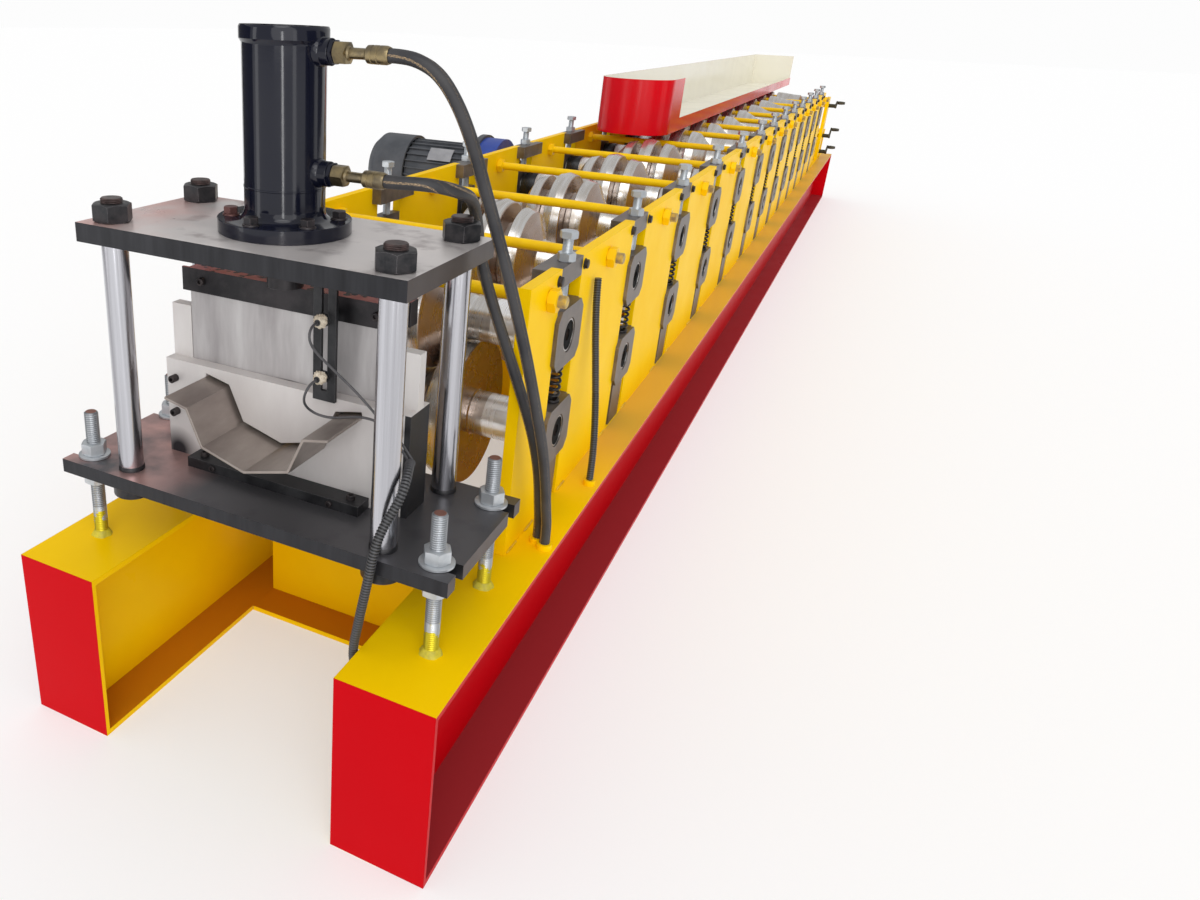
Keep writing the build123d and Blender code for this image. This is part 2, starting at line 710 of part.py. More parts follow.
with BuildPart() as press_upper_plate:
    with BuildSketch(Plane.XY.offset(upper_plate_z)):
        with Locations((0, press_y)):
            Rectangle(2 * upper_plate_half_x, 2 * upper_plate_half_y)
            Circle(ram_rod_radius + 2, mode=Mode.SUBTRACT)
        with Locations(*pillar_places):
            Circle(pillar_thread_radius + pillar_fit, mode=Mode.SUBTRACT)
    extrude(amount=upper_plate_thickness)
write(press_upper_plate, "press_upper_plate")

# Studs that carry the press on the beams, with nuts under and over the plate
with BuildPart() as press_studs:
    with BuildSketch(Plane.XY.offset(beam_height)):
        with Locations(*stud_places):
            Circle(stud_radius)
    extrude(amount=stud_top_z - beam_height)
    for washer_z in (lower_plate_top_z, lower_plate_z - stud_washer):
        with BuildSketch(Plane.XY.offset(washer_z)):
            with Locations(*stud_places):
                Circle(stud_washer_radius)
        extrude(amount=stud_washer)
    for nut_z in (lower_plate_top_z + stud_washer, lower_plate_z - stud_washer - stud_nut_height):
        with BuildSketch(Plane.XY.offset(nut_z)):
            with Locations(*stud_places):
                RegularPolygon(stud_nut_width / 2, 6, major_radius=False)
        extrude(amount=stud_nut_height)
write(press_studs, "press_studs")

# Guide pillars: stepped down to a thread through the upper plate, with a nut on it
with BuildPart() as guide_pillars:
    for x, y in pillar_places:
        with BuildSketch(Plane.XZ.offset(-y)):
            with BuildLine():
                thread_top_z = upper_plate_top_z + pillar_nut_height + pillar_thread_end
                foot_z = lower_plate_z - pillar_foot_height
                Polyline((x, foot_z), (x + pillar_foot_radius, foot_z),
                         (x + pillar_foot_radius, lower_plate_z), (x + pillar_radius, lower_plate_z),
                         (x + pillar_radius, upper_plate_z), (x + pillar_thread_radius, upper_plate_z),
                         (x + pillar_thread_radius, thread_top_z), (x, thread_top_z), close=True)
            make_face()
        revolve(axis=Axis((x, y, 0), (0, 0, 1)))
    with BuildSketch(Plane.XY.offset(upper_plate_top_z)):
        with Locations(*pillar_places):
            RegularPolygon(pillar_nut_width / 2, 6, major_radius=False)
    extrude(amount=pillar_nut_height)
write(guide_pillars, "guide_pillars")

# Cylinder with a bore for the ram rod, a flange and a cap
rod_top_z = upper_plate_top_z + stroke + barrel_flange_height
with BuildPart() as hydraulic_cylinder:
    with BuildSketch(Plane.XZ.offset(-press_y)):
        with BuildLine():
            bore = ram_rod_radius + ram_rod_fit
            Polyline((bore, upper_plate_top_z), (barrel_flange_radius, upper_plate_top_z),
                     (barrel_flange_radius, upper_plate_top_z + barrel_flange_height),
                     (barrel_radius, upper_plate_top_z + barrel_flange_height),
                     (barrel_radius, barrel_top_z - barrel_cap_height),
                     (barrel_cap_radius, barrel_top_z - barrel_cap_height),
                     (barrel_cap_radius, barrel_top_z), (0, barrel_top_z),
                     (0, rod_top_z + 20), (bore, rod_top_z + 20), close=True)
        make_face()
    revolve(axis=Axis((0, press_y, 0), (0, 0, 1)))
    for port_z in port_zs:
        port_steps = [(port_boss_radius, barrel_radius - port_boss_radius / 2, port_boss_end_x),
                      (port_tube_radius, port_nut_end_x, port_tube_end_x),
                      (ferrule_radius, port_tube_end_x, ferrule_end_x)]
        for radius, start_x, end_x in port_steps:
            with BuildSketch(Plane.YZ.offset(start_x)):
                with Locations((press_y, port_z)):
                    Circle(radius)
            extrude(amount=end_x - start_x)
        with BuildSketch(Plane.YZ.offset(port_boss_end_x)):
            with Locations((press_y, port_z)):
                RegularPolygon(port_nut_width / 2, 6, major_radius=False)
        extrude(amount=port_nut_end_x - port_boss_end_x)
write(hydraulic_cylinder, "hydraulic_cylinder")

# Ram: the blade holder on its rod, and the blade, whose edge cuts the lips of the strip first
with BuildPart() as blade_holder:
    block((-holder_half_x, holder_half_x), (holder_front_y, holder_front_y + holder_depth),
          (holder_bottom_z, holder_top_z))
    for sign in sides.values():
        block((sign * (blade_half_x + blade_fit - holder_guide_gap), sign * base_width / 2),
              (die_front_y + die_thickness - holder_guide_gap,
               die_front_y + die_thickness + blade_slot + holder_guide_gap),
              (holder_bottom_z, holder_top_z), mode=Mode.SUBTRACT)
    with BuildSketch(Plane.XY.offset(holder_top_z)):
        with Locations((0, press_y)):
            Circle(ram_rod_radius)
    extrude(amount=rod_top_z - holder_top_z)
write(blade_holder, "blade_holder")

blade_front_y = die_front_y + die_thickness + blade_fit
with BuildPart() as shear_blade:
    with BuildSketch(Plane.XZ.offset(-blade_front_y)):
        with BuildLine():
            Polyline((-blade_half_x, holder_bottom_z), (-blade_half_x, blade_bottom_z), (0, blade_bottom_z + blade_rise),
                     (blade_half_x, blade_bottom_z), (blade_half_x, holder_bottom_z), close=True)
        make_face()
    extrude(amount=-(blade_slot - 2 * blade_fit))
write(shear_blade, "shear_blade")


# Two die plates, each with the slot that the strip's section passes through
full_section = mirrored(strip_half(1.0))
with BuildPart() as die_plates:
    for front_y in (die_front_y, die_front_y + die_thickness + blade_slot):
        block((-die_half_x, die_half_x), (front_y, front_y + die_thickness), (lower_plate_top_z, die_top_z))
    with BuildSketch(Plane.XZ.offset(-die_front_y)):
        with BuildLine():
            Polyline(*beside(full_section, -strip_thickness / 2 - die_slot_seat),
                     *reversed(beside(full_section, strip_thickness / 2 + die_slot_head)), close=True)
        make_face()
    extrude(amount=-(2 * die_thickness + blade_slot), mode=Mode.SUBTRACT)
write(die_plates, "die_plates")

with BuildPart() as blade_guides:
    for sign in sides.values():
        block((sign * (blade_half_x + blade_fit), sign * die_half_x),
              (die_front_y + die_thickness, die_front_y + die_thickness + blade_slot),
              (lower_plate_top_z, blade_guide_top_z))
write(blade_guides, "blade_guides")

with BuildPart() as die_clamps:
    rear_die_back_y = die_front_y + 2 * die_thickness + blade_slot
    for front in (die_front_y - clamp_depth, rear_die_back_y):
        block((-clamp_half_x, clamp_half_x), (front, front + clamp_depth),
              (lower_plate_top_z, lower_plate_top_z + clamp_height))
write(die_clamps, "die_clamps")

# Formed strip that stands in the front die
with BuildPart() as formed_strip:
    with BuildSketch(Plane.XZ.offset(-strip_front_y)):
        with BuildLine():
            Polyline(*beside(full_section, -strip_thickness / 2),
                     *reversed(beside(full_section, strip_thickness / 2)), close=True)
        make_face()
    extrude(amount=-(die_front_y + die_thickness - strip_front_y))
write(formed_strip, "formed_strip")

# Slotted rail that hangs from the upper plate and holds the two position sensors
rail_back_y = die_front_y - rail_gap
rail_front_y = rail_back_y - rail_thickness
with BuildPart() as sensor_rail:
    block((rail_x - rail_width / 2, rail_x + rail_width / 2), (rail_front_y, rail_back_y),
          (rail_bottom_z, upper_plate_z))
    block((rail_x - rail_slot_width / 2, rail_x + rail_slot_width / 2), (rail_front_y, rail_back_y),
          (rail_bottom_z + rail_slot_end, upper_plate_z - 2 * rail_slot_end), mode=Mode.SUBTRACT)
    for sensor_z in sensor_zs:
        with BuildSketch(Plane.XZ.offset(-rail_back_y)):
            with Locations((rail_x, sensor_z)):
                Circle(sensor_radius)
        extrude(amount=sensor_length)
        with BuildSketch(Plane.XZ.offset(-rail_front_y)):
            with Locations((rail_x, sensor_z)):
                RegularPolygon(sensor_nut_width / 2, 6, major_radius=False)
        extrude(amount=sensor_nut_height)
write(sensor_rail, "sensor_rail")


def line_tube(route, radius, name):
    """A hose, conduit or cable: straight runs joined by arcs as large as the runs allow."""
    points = [Vector(point) for point in route]
    radii = []
    for before, corner, after in zip(points, points[1:], points[2:]):
        half_turn = radians((corner - before).get_angle(after - corner)) / 2
        radii.append(0.45 * min((corner - before).length, (after - corner).length) / tan(half_turn))
    with BuildPart() as tube:
        with BuildLine() as path:
            FilletPolyline(*points, radius=radii)
        with BuildSketch(Plane(origin=points[0], z_dir=points[1] - points[0])):
            Circle(radius)
        sweep()
    length = sum(edge.length for edge in path.edges())
    print(name, "radii", [round(value) for value in radii], "length", round(length),
          "volume share", round(tube.part.volume / (pi * radius**2 * length), 4))
    write(tube, name)


for name, (route, radius) in lines.items():
    line_tube(route, radius, name)
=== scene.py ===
from math import atan2, cos, pi, radians, sin

import bpy
import numpy as np
from mathutils import Matrix


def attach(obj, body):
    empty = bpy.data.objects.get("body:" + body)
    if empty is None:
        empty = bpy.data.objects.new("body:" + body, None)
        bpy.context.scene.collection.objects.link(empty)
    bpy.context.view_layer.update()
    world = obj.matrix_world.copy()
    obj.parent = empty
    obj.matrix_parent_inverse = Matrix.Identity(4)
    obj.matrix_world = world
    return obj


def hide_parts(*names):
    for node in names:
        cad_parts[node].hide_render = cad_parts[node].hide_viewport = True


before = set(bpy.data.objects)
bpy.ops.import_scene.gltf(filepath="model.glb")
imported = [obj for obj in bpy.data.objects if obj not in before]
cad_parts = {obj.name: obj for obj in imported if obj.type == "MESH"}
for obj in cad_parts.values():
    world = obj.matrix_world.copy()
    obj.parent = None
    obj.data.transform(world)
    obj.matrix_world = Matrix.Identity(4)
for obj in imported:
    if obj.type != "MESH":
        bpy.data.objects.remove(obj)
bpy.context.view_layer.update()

# Camera: it stands low at the right front corner, and looks along the machine as the photograph does.
# The frame of the picture is wider than the machine, so the lens is shifted to the right.
scene = bpy.context.scene
camera = bpy.data.objects.new("camera", bpy.data.cameras.new("camera"))
scene.collection.objects.link(camera)
camera.data.sensor_width = 36.0
camera.data.lens = 27.77
camera.data.shift_x = 0.1832
camera.data.shift_y = -0.0346
yaw, pitch, roll = radians(27.37), radians(-23.24), radians(2.28)
ahead = np.array([-sin(yaw) * cos(pitch), cos(yaw) * cos(pitch), sin(pitch)])
level = np.array([cos(yaw), sin(yaw), 0.0])
upward = np.cross(level, ahead)
right_hand = level * cos(roll) + upward * sin(roll)
overhead = np.cross(right_hand, ahead)
stand = (1.2297, -5.5312, 1.4842)
camera.matrix_world = Matrix([[*row, place] for row, place in zip(
    np.array([right_hand, overhead, -ahead]).T.tolist(), stand)] + [[0, 0, 0, 1]])
scene.camera = camera

# Studio: a pale floor, two soft lamps, one high and one low, and a plain bright room that gloss can see.
# Dark and bright cards stand round the machine, so that polished steel shows dark and bright streaks.
world = bpy.data.worlds.new("room")
scene.world = world
world.use_nodes = True
scene.view_settings.view_transform = "Standard"


def node(tree, kind, inputs=None, **settings):
    """Add one node, with its settings and with numbers or links on its inputs."""
    made = tree.nodes.new(kind)
    for key, value in settings.items():
        setattr(made, key, value)
    for key, value in (inputs or {}).items():
        if isinstance(value, bpy.types.NodeSocket):
            tree.links.new(value, made.inputs[key])
        else:
            made.inputs[key].default_value = value
    return made


def calculate(tree, operation, *values):
    """Result of one calculation on numbers or links."""
    return node(tree, "ShaderNodeMath", dict(enumerate(values)), operation=operation).outputs[0]


def away(tree, value, centre=0.0):
    """How far a value is from a centre, on either side."""
    return calculate(tree, "ABSOLUTE", calculate(tree, "SUBTRACT", value, centre))


def distance(tree, first, second):
    """Length of the diagonal over two lengths."""
    squares = [calculate(tree, "MULTIPLY", value, value) for value in (first, second)]
    return calculate(tree, "SQRT", calculate(tree, "ADD", *squares))


def mask(tree, *tests):
    """Product of all tests: each is a number, a link, or a comparison of a value, < or >, and a number."""
    result = 1.0
    for test in tests:
        if isinstance(test, tuple):
            value, sign, number = test
            test = calculate(tree, {"<": "LESS_THAN", ">": "GREATER_THAN"}[sign], value, number)
        result = calculate(tree, "MULTIPLY", result, test)
    return result


def ramp(tree, value, start, end, top=1.0):
    """0 where the value is at the start, rising evenly to the top where it is at the end."""
    return node(tree, "ShaderNodeMapRange", {"Value": value, "From Min": start, "From Max": end,
                                             "To Max": top}).outputs[0]


def noise(tree, scale, detail, stretch=None):
    """Soft noise on the object's own coordinates; scale is per metre."""
    place = node(tree, "ShaderNodeTexCoord").outputs["Object"]
    if stretch:
        place = node(tree, "ShaderNodeMapping", {"Vector": place, "Scale": stretch}).outputs[0]
    return node(tree, "ShaderNodeTexNoise", {"Vector": place, "Scale": scale, "Detail": detail}).outputs["Fac"]


def blend(tree, factor, first, second):
    """Colour between two colours, each three numbers or a link."""
    mixed = node(tree, "ShaderNodeMix", {"Factor": factor}, data_type="RGBA")
    for slot, colour in ((6, first), (7, second)):
        if isinstance(colour, bpy.types.NodeSocket):
            tree.links.new(colour, mixed.inputs[slot])
        else:
            mixed.inputs[slot].default_value = (*colour, 1)
    return mixed.outputs[2]


room = world.node_tree
seen = node(room, "ShaderNodeLightPath").outputs
ROOM_FILL, ROOM_SEEN, ROOM_MIRRORED = 0.80, 0.98, 0.62
seen_part = calculate(room, "MULTIPLY", seen["Is Camera Ray"], ROOM_SEEN - ROOM_FILL)
mirrored_part = calculate(room, "MULTIPLY", seen["Is Glossy Ray"], ROOM_MIRRORED - ROOM_FILL)
strength = calculate(room, "ADD", calculate(room, "ADD", seen_part, mirrored_part), ROOM_FILL)
room.nodes["Background"].inputs["Color"].default_value = (1.0, 1.0, 1.0, 1.0)
room.links.new(strength, room.nodes["Background"].inputs["Strength"])

# Each lamp: name, strength, spread, and the turn of the plane that it shines from
lamps = (("high_lamp", 0.55, 35, 38, 12, 10), ("low_lamp", 0.95, 60, 74, 0, 32))
for name, energy, spread, turn_x, turn_y, turn_z in lamps:
    lamp = bpy.data.objects.new(name, bpy.data.lights.new(name, "SUN"))
    lamp.data.energy = energy
    lamp.data.angle = radians(spread)
    lamp.rotation_euler = (radians(turn_x), radians(turn_y), radians(turn_z))
    scene.collection.objects.link(lamp)


def set_mesh(name, points, faces):
    """New mesh object from points in metres and faces, at the origin."""
    mesh = bpy.data.meshes.new(name)
    mesh.from_pydata(np.asarray(points, float).tolist(), [], faces)
    made = bpy.data.objects.new(name, mesh)
    scene.collection.objects.link(made)
    return made


def glowing(name, brightness, grey=0.0):
    """Dull grey paint that shines by itself."""
    paint = bpy.data.materials.new(name)
    paint.use_nodes = True
    surface = paint.node_tree.nodes["Principled BSDF"]
    surface.inputs["Base Color"].default_value = (grey, grey, grey, 1.0)
    surface.inputs["Roughness"].default_value = 1.0
    surface.inputs["Emission Color"].default_value = (1.0, 1.0, 1.0, 1.0)
    surface.inputs["Emission Strength"].default_value = brightness
    return paint


FLOOR_Z = -0.001
floor = set_mesh("floor", [(x, y, FLOOR_Z) for x, y in ((-40, -40), (40, -40), (40, 60), (-40, 60))], [[0, 1, 2, 3]])
floor_paint = glowing("floor_paint", 0.38, 0.60)
floor_paint.node_tree.nodes["Principled BSDF"].inputs["Specular IOR Level"].default_value = 0.0
floor.data.materials.append(floor_paint)

# Each card: its two lower corners and its paint. Only reflections show the cards.
CARD_HEIGHT = 3.2
dark_card, bright_card, window_card = [glowing(name, brightness) for name, brightness in (
    ("dark_card", 0.10), ("bright_card", 2.2), ("window_card", 9.0))]
cards = [((-4.5, -7.0), (-4.5, -1.5), dark_card), ((5.5, -4.0), (5.5, -1.0), dark_card),
         ((5.5, 1.0), (5.5, 8.0), dark_card), ((-4.5, 1.0), (-4.5, 8.0), dark_card),
         ((-3.4, -7.2), (-2.6, -7.6), bright_card),
         ((3.9, -6.6), (4.3, -6.0), bright_card), ((2.7, -9.0), (3.1, -8.8), window_card)]
for number, ((x1, y1), (x2, y2), paint) in enumerate(cards):
    card = set_mesh(f"card_{number}", [(x1, y1, 0.0), (x2, y2, 0.0), (x2, y2, CARD_HEIGHT), (x1, y1, CARD_HEIGHT)],
                    [[0, 1, 2, 3]])
    card.data.materials.append(paint)
    card.visible_camera = False
    card.visible_diffuse = False
    card.visible_shadow = False


# Hoses, conduits and cables: black rubber pressure hoses from the cylinder, ribbed plastic conduits, and the thin
# leads of the two sensors. All of them are drawn in millimetres from the machine's front centre, as in the source.
ORIGIN = np.array([285.0, -4395.0, 0.0])
MIDDLE_X = 0.285


def finish(name, colour, second, metal=0.0, rough=0.5, rough_second=None, patch=6.0, contrast=0.5, grain=300.0,
           bump=0.05, depth=0.0005, stretch=(1, 1, 1), edge=0.0, edge_colour=None, gleam=0.5):
    """One finish: two colours in soft patches, their two roughnesses, a fine grain as bump, and worn edges.

    patch and grain are noise scales per metre; stretch lengthens both along an axis, as brushing does."""
    material = bpy.data.materials.new(name)
    material.use_nodes = True
    tree = material.node_tree
    surface = tree.nodes["Principled BSDF"]
    place = node(tree, "ShaderNodeMapping", {"Vector": node(tree, "ShaderNodeTexCoord").outputs["Object"],
                                             "Scale": stretch}).outputs[0]
    patches = node(tree, "ShaderNodeTexNoise", {"Vector": place, "Scale": patch, "Detail": 6.0, "Roughness": 0.6})
    share = ramp(tree, patches.outputs["Fac"], 0.5 - 0.25 * contrast, 0.5 + 0.25 * contrast)
    paint = blend(tree, share, colour, second)
    gloss = node(tree, "ShaderNodeMapRange", {"Value": share, "To Min": rough,
                                              "To Max": rough if rough_second is None else rough_second}).outputs[0]
    fine = node(tree, "ShaderNodeTexNoise", {"Vector": place, "Scale": grain, "Detail": 4.0}).outputs["Fac"]
    relief = node(tree, "ShaderNodeBump", {"Strength": bump, "Distance": depth, "Height": fine})
    if edge:
        smooth = node(tree, "ShaderNodeBevel", {"Radius": edge}, samples=4).outputs[0]
        tree.links.new(smooth, relief.inputs["Normal"])
    if edge and edge_colour:
        true_side = node(tree, "ShaderNodeNewGeometry").outputs["Normal"]
        turn = node(tree, "ShaderNodeVectorMath", {0: smooth, 1: true_side}, operation="DOT_PRODUCT").outputs["Value"]
        rubbed = node(tree, "ShaderNodeTexNoise", {"Vector": place, "Scale": 45.0, "Detail": 3.0}).outputs["Fac"]
        worn = calculate(tree, "MULTIPLY", ramp(tree, turn, 0.99, 0.80), calculate(tree, "MULTIPLY", rubbed, 1.3))
        paint = blend(tree, worn, paint, edge_colour)
    tree.links.new(paint, surface.inputs["Base Color"])
    tree.links.new(gloss, surface.inputs["Roughness"])
    tree.links.new(relief.outputs["Normal"], surface.inputs["Normal"])
    surface.inputs["Metallic"].default_value = metal
    surface.inputs["Specular IOR Level"].default_value = gleam
    return material


def mix_in(material, factor, colour):
    """Put a second colour over a finish's own colour, by a factor."""
    tree = material.node_tree
    base = tree.nodes["Principled BSDF"].inputs["Base Color"]
    tree.links.new(blend(tree, factor, base.links[0].from_socket, colour), base)


def measures(tree):
    """The place on the object and the way its surface faces, as separate numbers."""
    coordinates = node(tree, "ShaderNodeTexCoord").outputs
    place = node(tree, "ShaderNodeSeparateXYZ", {0: coordinates["Object"]}).outputs
    facing = node(tree, "ShaderNodeSeparateXYZ", {0: coordinates["Normal"]}).outputs
    return place, facing


def coloured(material, *names):
    """Give carried-over CAD nodes their finish."""
    for name in names:
        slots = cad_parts[name].data.materials
        slots.clear()
        slots.append(material)


def read_route(name, route):
    """Points of the smooth NURBS line whose control points are the route, with its first and last point kept."""
    curve = bpy.data.curves.new(name + "_line", "CURVE")
    curve.dimensions = "3D"
    curve.resolution_u = 16
    spline = curve.splines.new("NURBS")
    spline.points.add(len(route) - 1)
    control = (np.array(route, float) + ORIGIN) / 1000
    spline.points.foreach_set("co", np.c_[control, np.ones(len(route))].astype(np.float32).ravel())
    spline.order_u = 3
    spline.use_endpoint_u = True
    line = bpy.data.objects.new(name + "_line", curve)
    scene.collection.objects.link(line)
    bpy.context.view_layer.update()
    mesh = bpy.data.meshes.new_from_object(line)
    points = np.zeros(len(mesh.vertices) * 3)
    mesh.vertices.foreach_get("co", points)
    bpy.data.meshes.remove(mesh)
    bpy.data.objects.remove(line)
    return points.reshape(-1, 3)


def skin(rings, closed=False):
    """Points and faces over rings of points: quads from ring to ring. The first and the last ring get a flat face
    each, or quads to each other in a closed shape."""
    count, around = rings.shape[:2]
    index = np.arange(count * around).reshape(count, around)
    low, high = (index, np.roll(index, -1, 0)) if closed else (index[:-1], index[1:])
    faces = np.stack([low, np.roll(low, -1, 1), np.roll(high, -1, 1), high], -1).reshape(-1, 4).tolist()
    if not closed:
        faces += [index[0, ::-1].tolist(), index[-1].tolist()]
    return rings.reshape(-1, 3), faces


def tube(path, radius, sides, upright):
    """Tube along a path of points: each ring is the circle across the path, radius metres from it.

    radius is one number for each point; upright is a direction that the path never follows."""
    heading = np.gradient(path, axis=0)
    heading /= np.linalg.norm(heading, axis=1)[:, None]
    across = np.cross(heading, upright)
    across /= np.linalg.norm(across, axis=1)[:, None]
    over = np.cross(heading, across)
    turn = np.linspace(0, 2 * pi, sides, endpoint=False)
    circle = across[:, None] * np.cos(turn)[None, :, None] + over[:, None] * np.sin(turn)[None, :, None]
    return skin(path[:, None] + circle * np.asarray(radius)[:, None, None])


def spaced(path, step):
    """The same path with its points an even step apart, found along its length."""
    along = np.r_[0, np.cumsum(np.linalg.norm(np.diff(path, axis=0), axis=1))]
    places = np.linspace(0, along[-1], max(8, int(along[-1] / step)))
    return np.stack([np.interp(places, along, path[:, axis]) for axis in range(3)], -1), places


def smooth_shade(made, angle=35):
    """Smooth shading, with edges sharper than the angle kept crisp."""
    made.data.polygons.foreach_set("use_smooth", [True] * len(made.data.polygons))
    made.data.set_sharp_from_angle(angle=radians(angle))


hose_rubber = finish("hose_rubber", (0.022, 0.022, 0.026), (0.045, 0.043, 0.045), rough=0.5, rough_second=0.62,
                     patch=14, grain=900, bump=0.35, depth=0.0004)
conduit_plastic = finish("conduit_plastic", (0.012, 0.012, 0.014), (0.035, 0.035, 0.038), rough=0.38,
                         rough_second=0.5, patch=25, grain=700, bump=0.2)
cable_skin = finish("cable_skin", (0.05, 0.05, 0.055), (0.09, 0.085, 0.09), rough=0.45, patch=30, grain=900, bump=0.1)

# The hoses carry a worn golden line along one side, where the layline was printed.
tree = hose_rubber.node_tree
along_hose = node(tree, "ShaderNodeUVMap", uv_map="lie").outputs[0]
lie = node(tree, "ShaderNodeSeparateXYZ", {0: along_hose}).outputs
half_turn = calculate(tree, "FRACT", calculate(tree, "MULTIPLY", lie["Y"], 2.0))
flecks = node(tree, "ShaderNodeTexNoise", {"Vector": along_hose, "Scale": 210.0, "Detail": 5.0}).outputs["Fac"]
mix_in(hose_rubber, mask(tree, (away(tree, half_turn, 0.5), "<", 0.055), (flecks, ">", 0.52)), (0.50, 0.34, 0.18))

# The conduits carry painted shade between their ribs and a painted highlight on them.
tree = conduit_plastic.node_tree
lie = node(tree, "ShaderNodeSeparateXYZ", {0: node(tree, "ShaderNodeUVMap", uv_map="lie").outputs[0]}).outputs
rib_turn = calculate(tree, "FRACT", calculate(tree, "ADD", calculate(tree, "DIVIDE", lie["X"], 0.006), 0.25))
rib_shade_and_highlight = blend(tree, mask(tree, (rib_turn, "<", 0.5)), (0.004, 0.004, 0.005), (0.065, 0.065, 0.070))
tree.links.new(rib_shade_and_highlight, tree.nodes["Principled BSDF"].inputs["Base Color"])

lines = {
    "upper_hose": ([(205, 280, 1418), (224, 280, 1418), (254, 281, 1414), (290, 287, 1396), (318, 303, 1352),
                    (338, 326, 1293), (354, 352, 1222), (372, 382, 1142), (392, 405, 1062), (414, 430, 968),
                    (434, 456, 872), (450, 486, 772), (462, 518, 680), (464, 556, 592), (463, 588, 512),
                    (462, 614, 458), (462, 614, 414)],
                   11.5, 0.0, hose_rubber, "hose_rubber", "stiff"),
    "lower_hose": ([(205, 280, 1218), (222, 280, 1218), (250, 284, 1219), (281, 297, 1218), (305, 327, 1210),
                    (313, 366, 1198), (308, 410, 1185), (300, 452, 1163), (295, 485, 1125), (297, 500, 1075),
                    (310, 508, 1020), (332, 512, 960), (358, 514, 900), (388, 516, 830), (416, 526, 755),
                    (434, 550, 675), (441, 582, 590), (441, 611, 502), (440, 632, 450),
                    (440, 632, 414)], 11.5, 0.0, hose_rubber, "hose_rubber", "stiff"),
    "press_conduit": ([(305, 229, 731), (312, 209, 741), (323, 184, 747), (332, 160, 741), (336, 138, 724),
                       (331, 121, 699), (321, 108, 674), (313, 97, 645), (308, 89, 613), (304, 86, 578),
                       (298, 85, 539), (290, 86, 496), (281, 90, 450), (272, 93, 404), (270, 98, 362),
                       (283, 104, 327), (308, 110, 306), (342, 114, 300), (359, 116, 299), (381, 116, 299)],
                      9.0, 6.0, conduit_plastic, "conduit_plastic", "medium"),
    "plate_conduit": ([(410, 985, 925), (412, 985, 880), (420, 984, 800), (434, 982, 700), (448, 978, 600),
                       (458, 972, 500), (460, 968, 442),
                       (460, 968, 414)], 9.0, 6.0, conduit_plastic, "conduit_plastic", "medium"),
    "sensor_cable_upper": ([(108, 219, 964), (108, 206, 964), (109, 194, 956), (110, 190, 943), (113, 194, 929),
                            (120, 201, 914), (132, 211, 897), (153, 223, 873), (182, 232, 846), (216, 235, 816),
                            (250, 235, 786), (278, 233, 758), (300, 233, 730)],
                           2.5, 0.0, cable_skin, "conduit_plastic", "limp"),
    "sensor_cable_lower": ([(108, 219, 854), (107, 207, 853), (104, 196, 845), (100, 192, 832), (96, 195, 818),
                            (95, 204, 804), (100, 214, 792), (112, 223, 783), (130, 229, 780), (150, 232, 783),
                            (172, 235, 789), (198, 238, 794), (226, 240, 792), (252, 241, 782), (274, 242, 764),
                            (292, 241, 745), (306, 239, 729)], 2.5, 0.0, cable_skin, "conduit_plastic", "limp"),
}
# Each line: its route, radius and rib spacing in mm, finish, colour slot and stiffness
RIB_DEPTH = 0.0016
NEVER_ALONG = (0.62, 0.78, -0.05)
for name, (route, thickness, rib, material, slot_name, stiffness) in lines.items():
    path, along = spaced(read_route(name, route), rib / 4000 if rib else 0.006)
    radius = np.full(len(path), thickness / 1000)
    if rib:
        radius -= RIB_DEPTH * (np.cos(2 * pi * along / (rib / 1000)) < 0)
    points, faces = tube(path, radius, 20 if thickness > 5 else 12, NEVER_ALONG)
    flex = set_mesh(name, points, faces)
    flex.data.materials.append(material)
    uv = flex.data.uv_layers.new(name="lie")
    corner_points = np.zeros(len(flex.data.loops), int)
    flex.data.loops.foreach_get("vertex_index", corner_points)
    sides = len(points) // len(path)
    place = np.stack([along[corner_points // sides], (corner_points % sides) / sides], -1)
    uv.data.foreach_set("uv", place.ravel())
    smooth_shade(flex, 60)
    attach(flex, "machine")
    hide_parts(name)


# Base: two long rolled H-beams, closed by welded end plates, with cross beams between them. It is sprayed in gloss
# enamel, yellow all over and red on the outer sides and on the end faces.
YELLOW, DEEP_YELLOW = (0.97, 0.62, 0.001), (0.92, 0.55, 0.001)
RED, DEEP_RED = (0.59, 0.0004, 0.005), (0.51, 0.0004, 0.005)
WEB_FACE, BEAM_EDGE, BEAM_TOP, BEAM_END = 0.3885, 0.40, 0.3985, 4.3945
base_enamel = finish("base_enamel", YELLOW, DEEP_YELLOW, rough=0.26, rough_second=0.4, patch=3, contrast=1.0,
                     grain=160, bump=0.10, depth=0.0006, edge=0.0018, gleam=0.04)
tree = base_enamel.node_tree
place, facing = measures(tree)
off_middle = away(tree, place["X"], MIDDLE_X)
outside = mask(tree, (off_middle, ">", WEB_FACE), (place["Z"], "<", BEAM_TOP))
foot_painted_shade = mask(tree, (facing["Z"], ">", 0.7), (place["Z"], "<", 0.02))
end_face = mask(tree, (away(tree, facing["Y"]), ">", 0.7), (away(tree, place["Y"]), ">", BEAM_END))
# Painted shade on the bottom flange tops: brown over the yellow.
mix_in(base_enamel, foot_painted_shade, (0.52, 0.19, 0.006))
beside_plates = mask(tree, (off_middle, ">", BEAM_EDGE), (facing["Z"], ">", 0.7), (place["Z"], ">", BEAM_TOP))
mix_in(base_enamel, mask(tree, beside_plates, ramp(tree, place["Y"], -3.55, -3.15, 0.7)), (0.58, 0.31, 0.07))
mix_in(base_enamel, calculate(tree, "MAXIMUM", outside, end_face), blend(tree, noise(tree, 1.7, 3.0), RED, DEEP_RED))
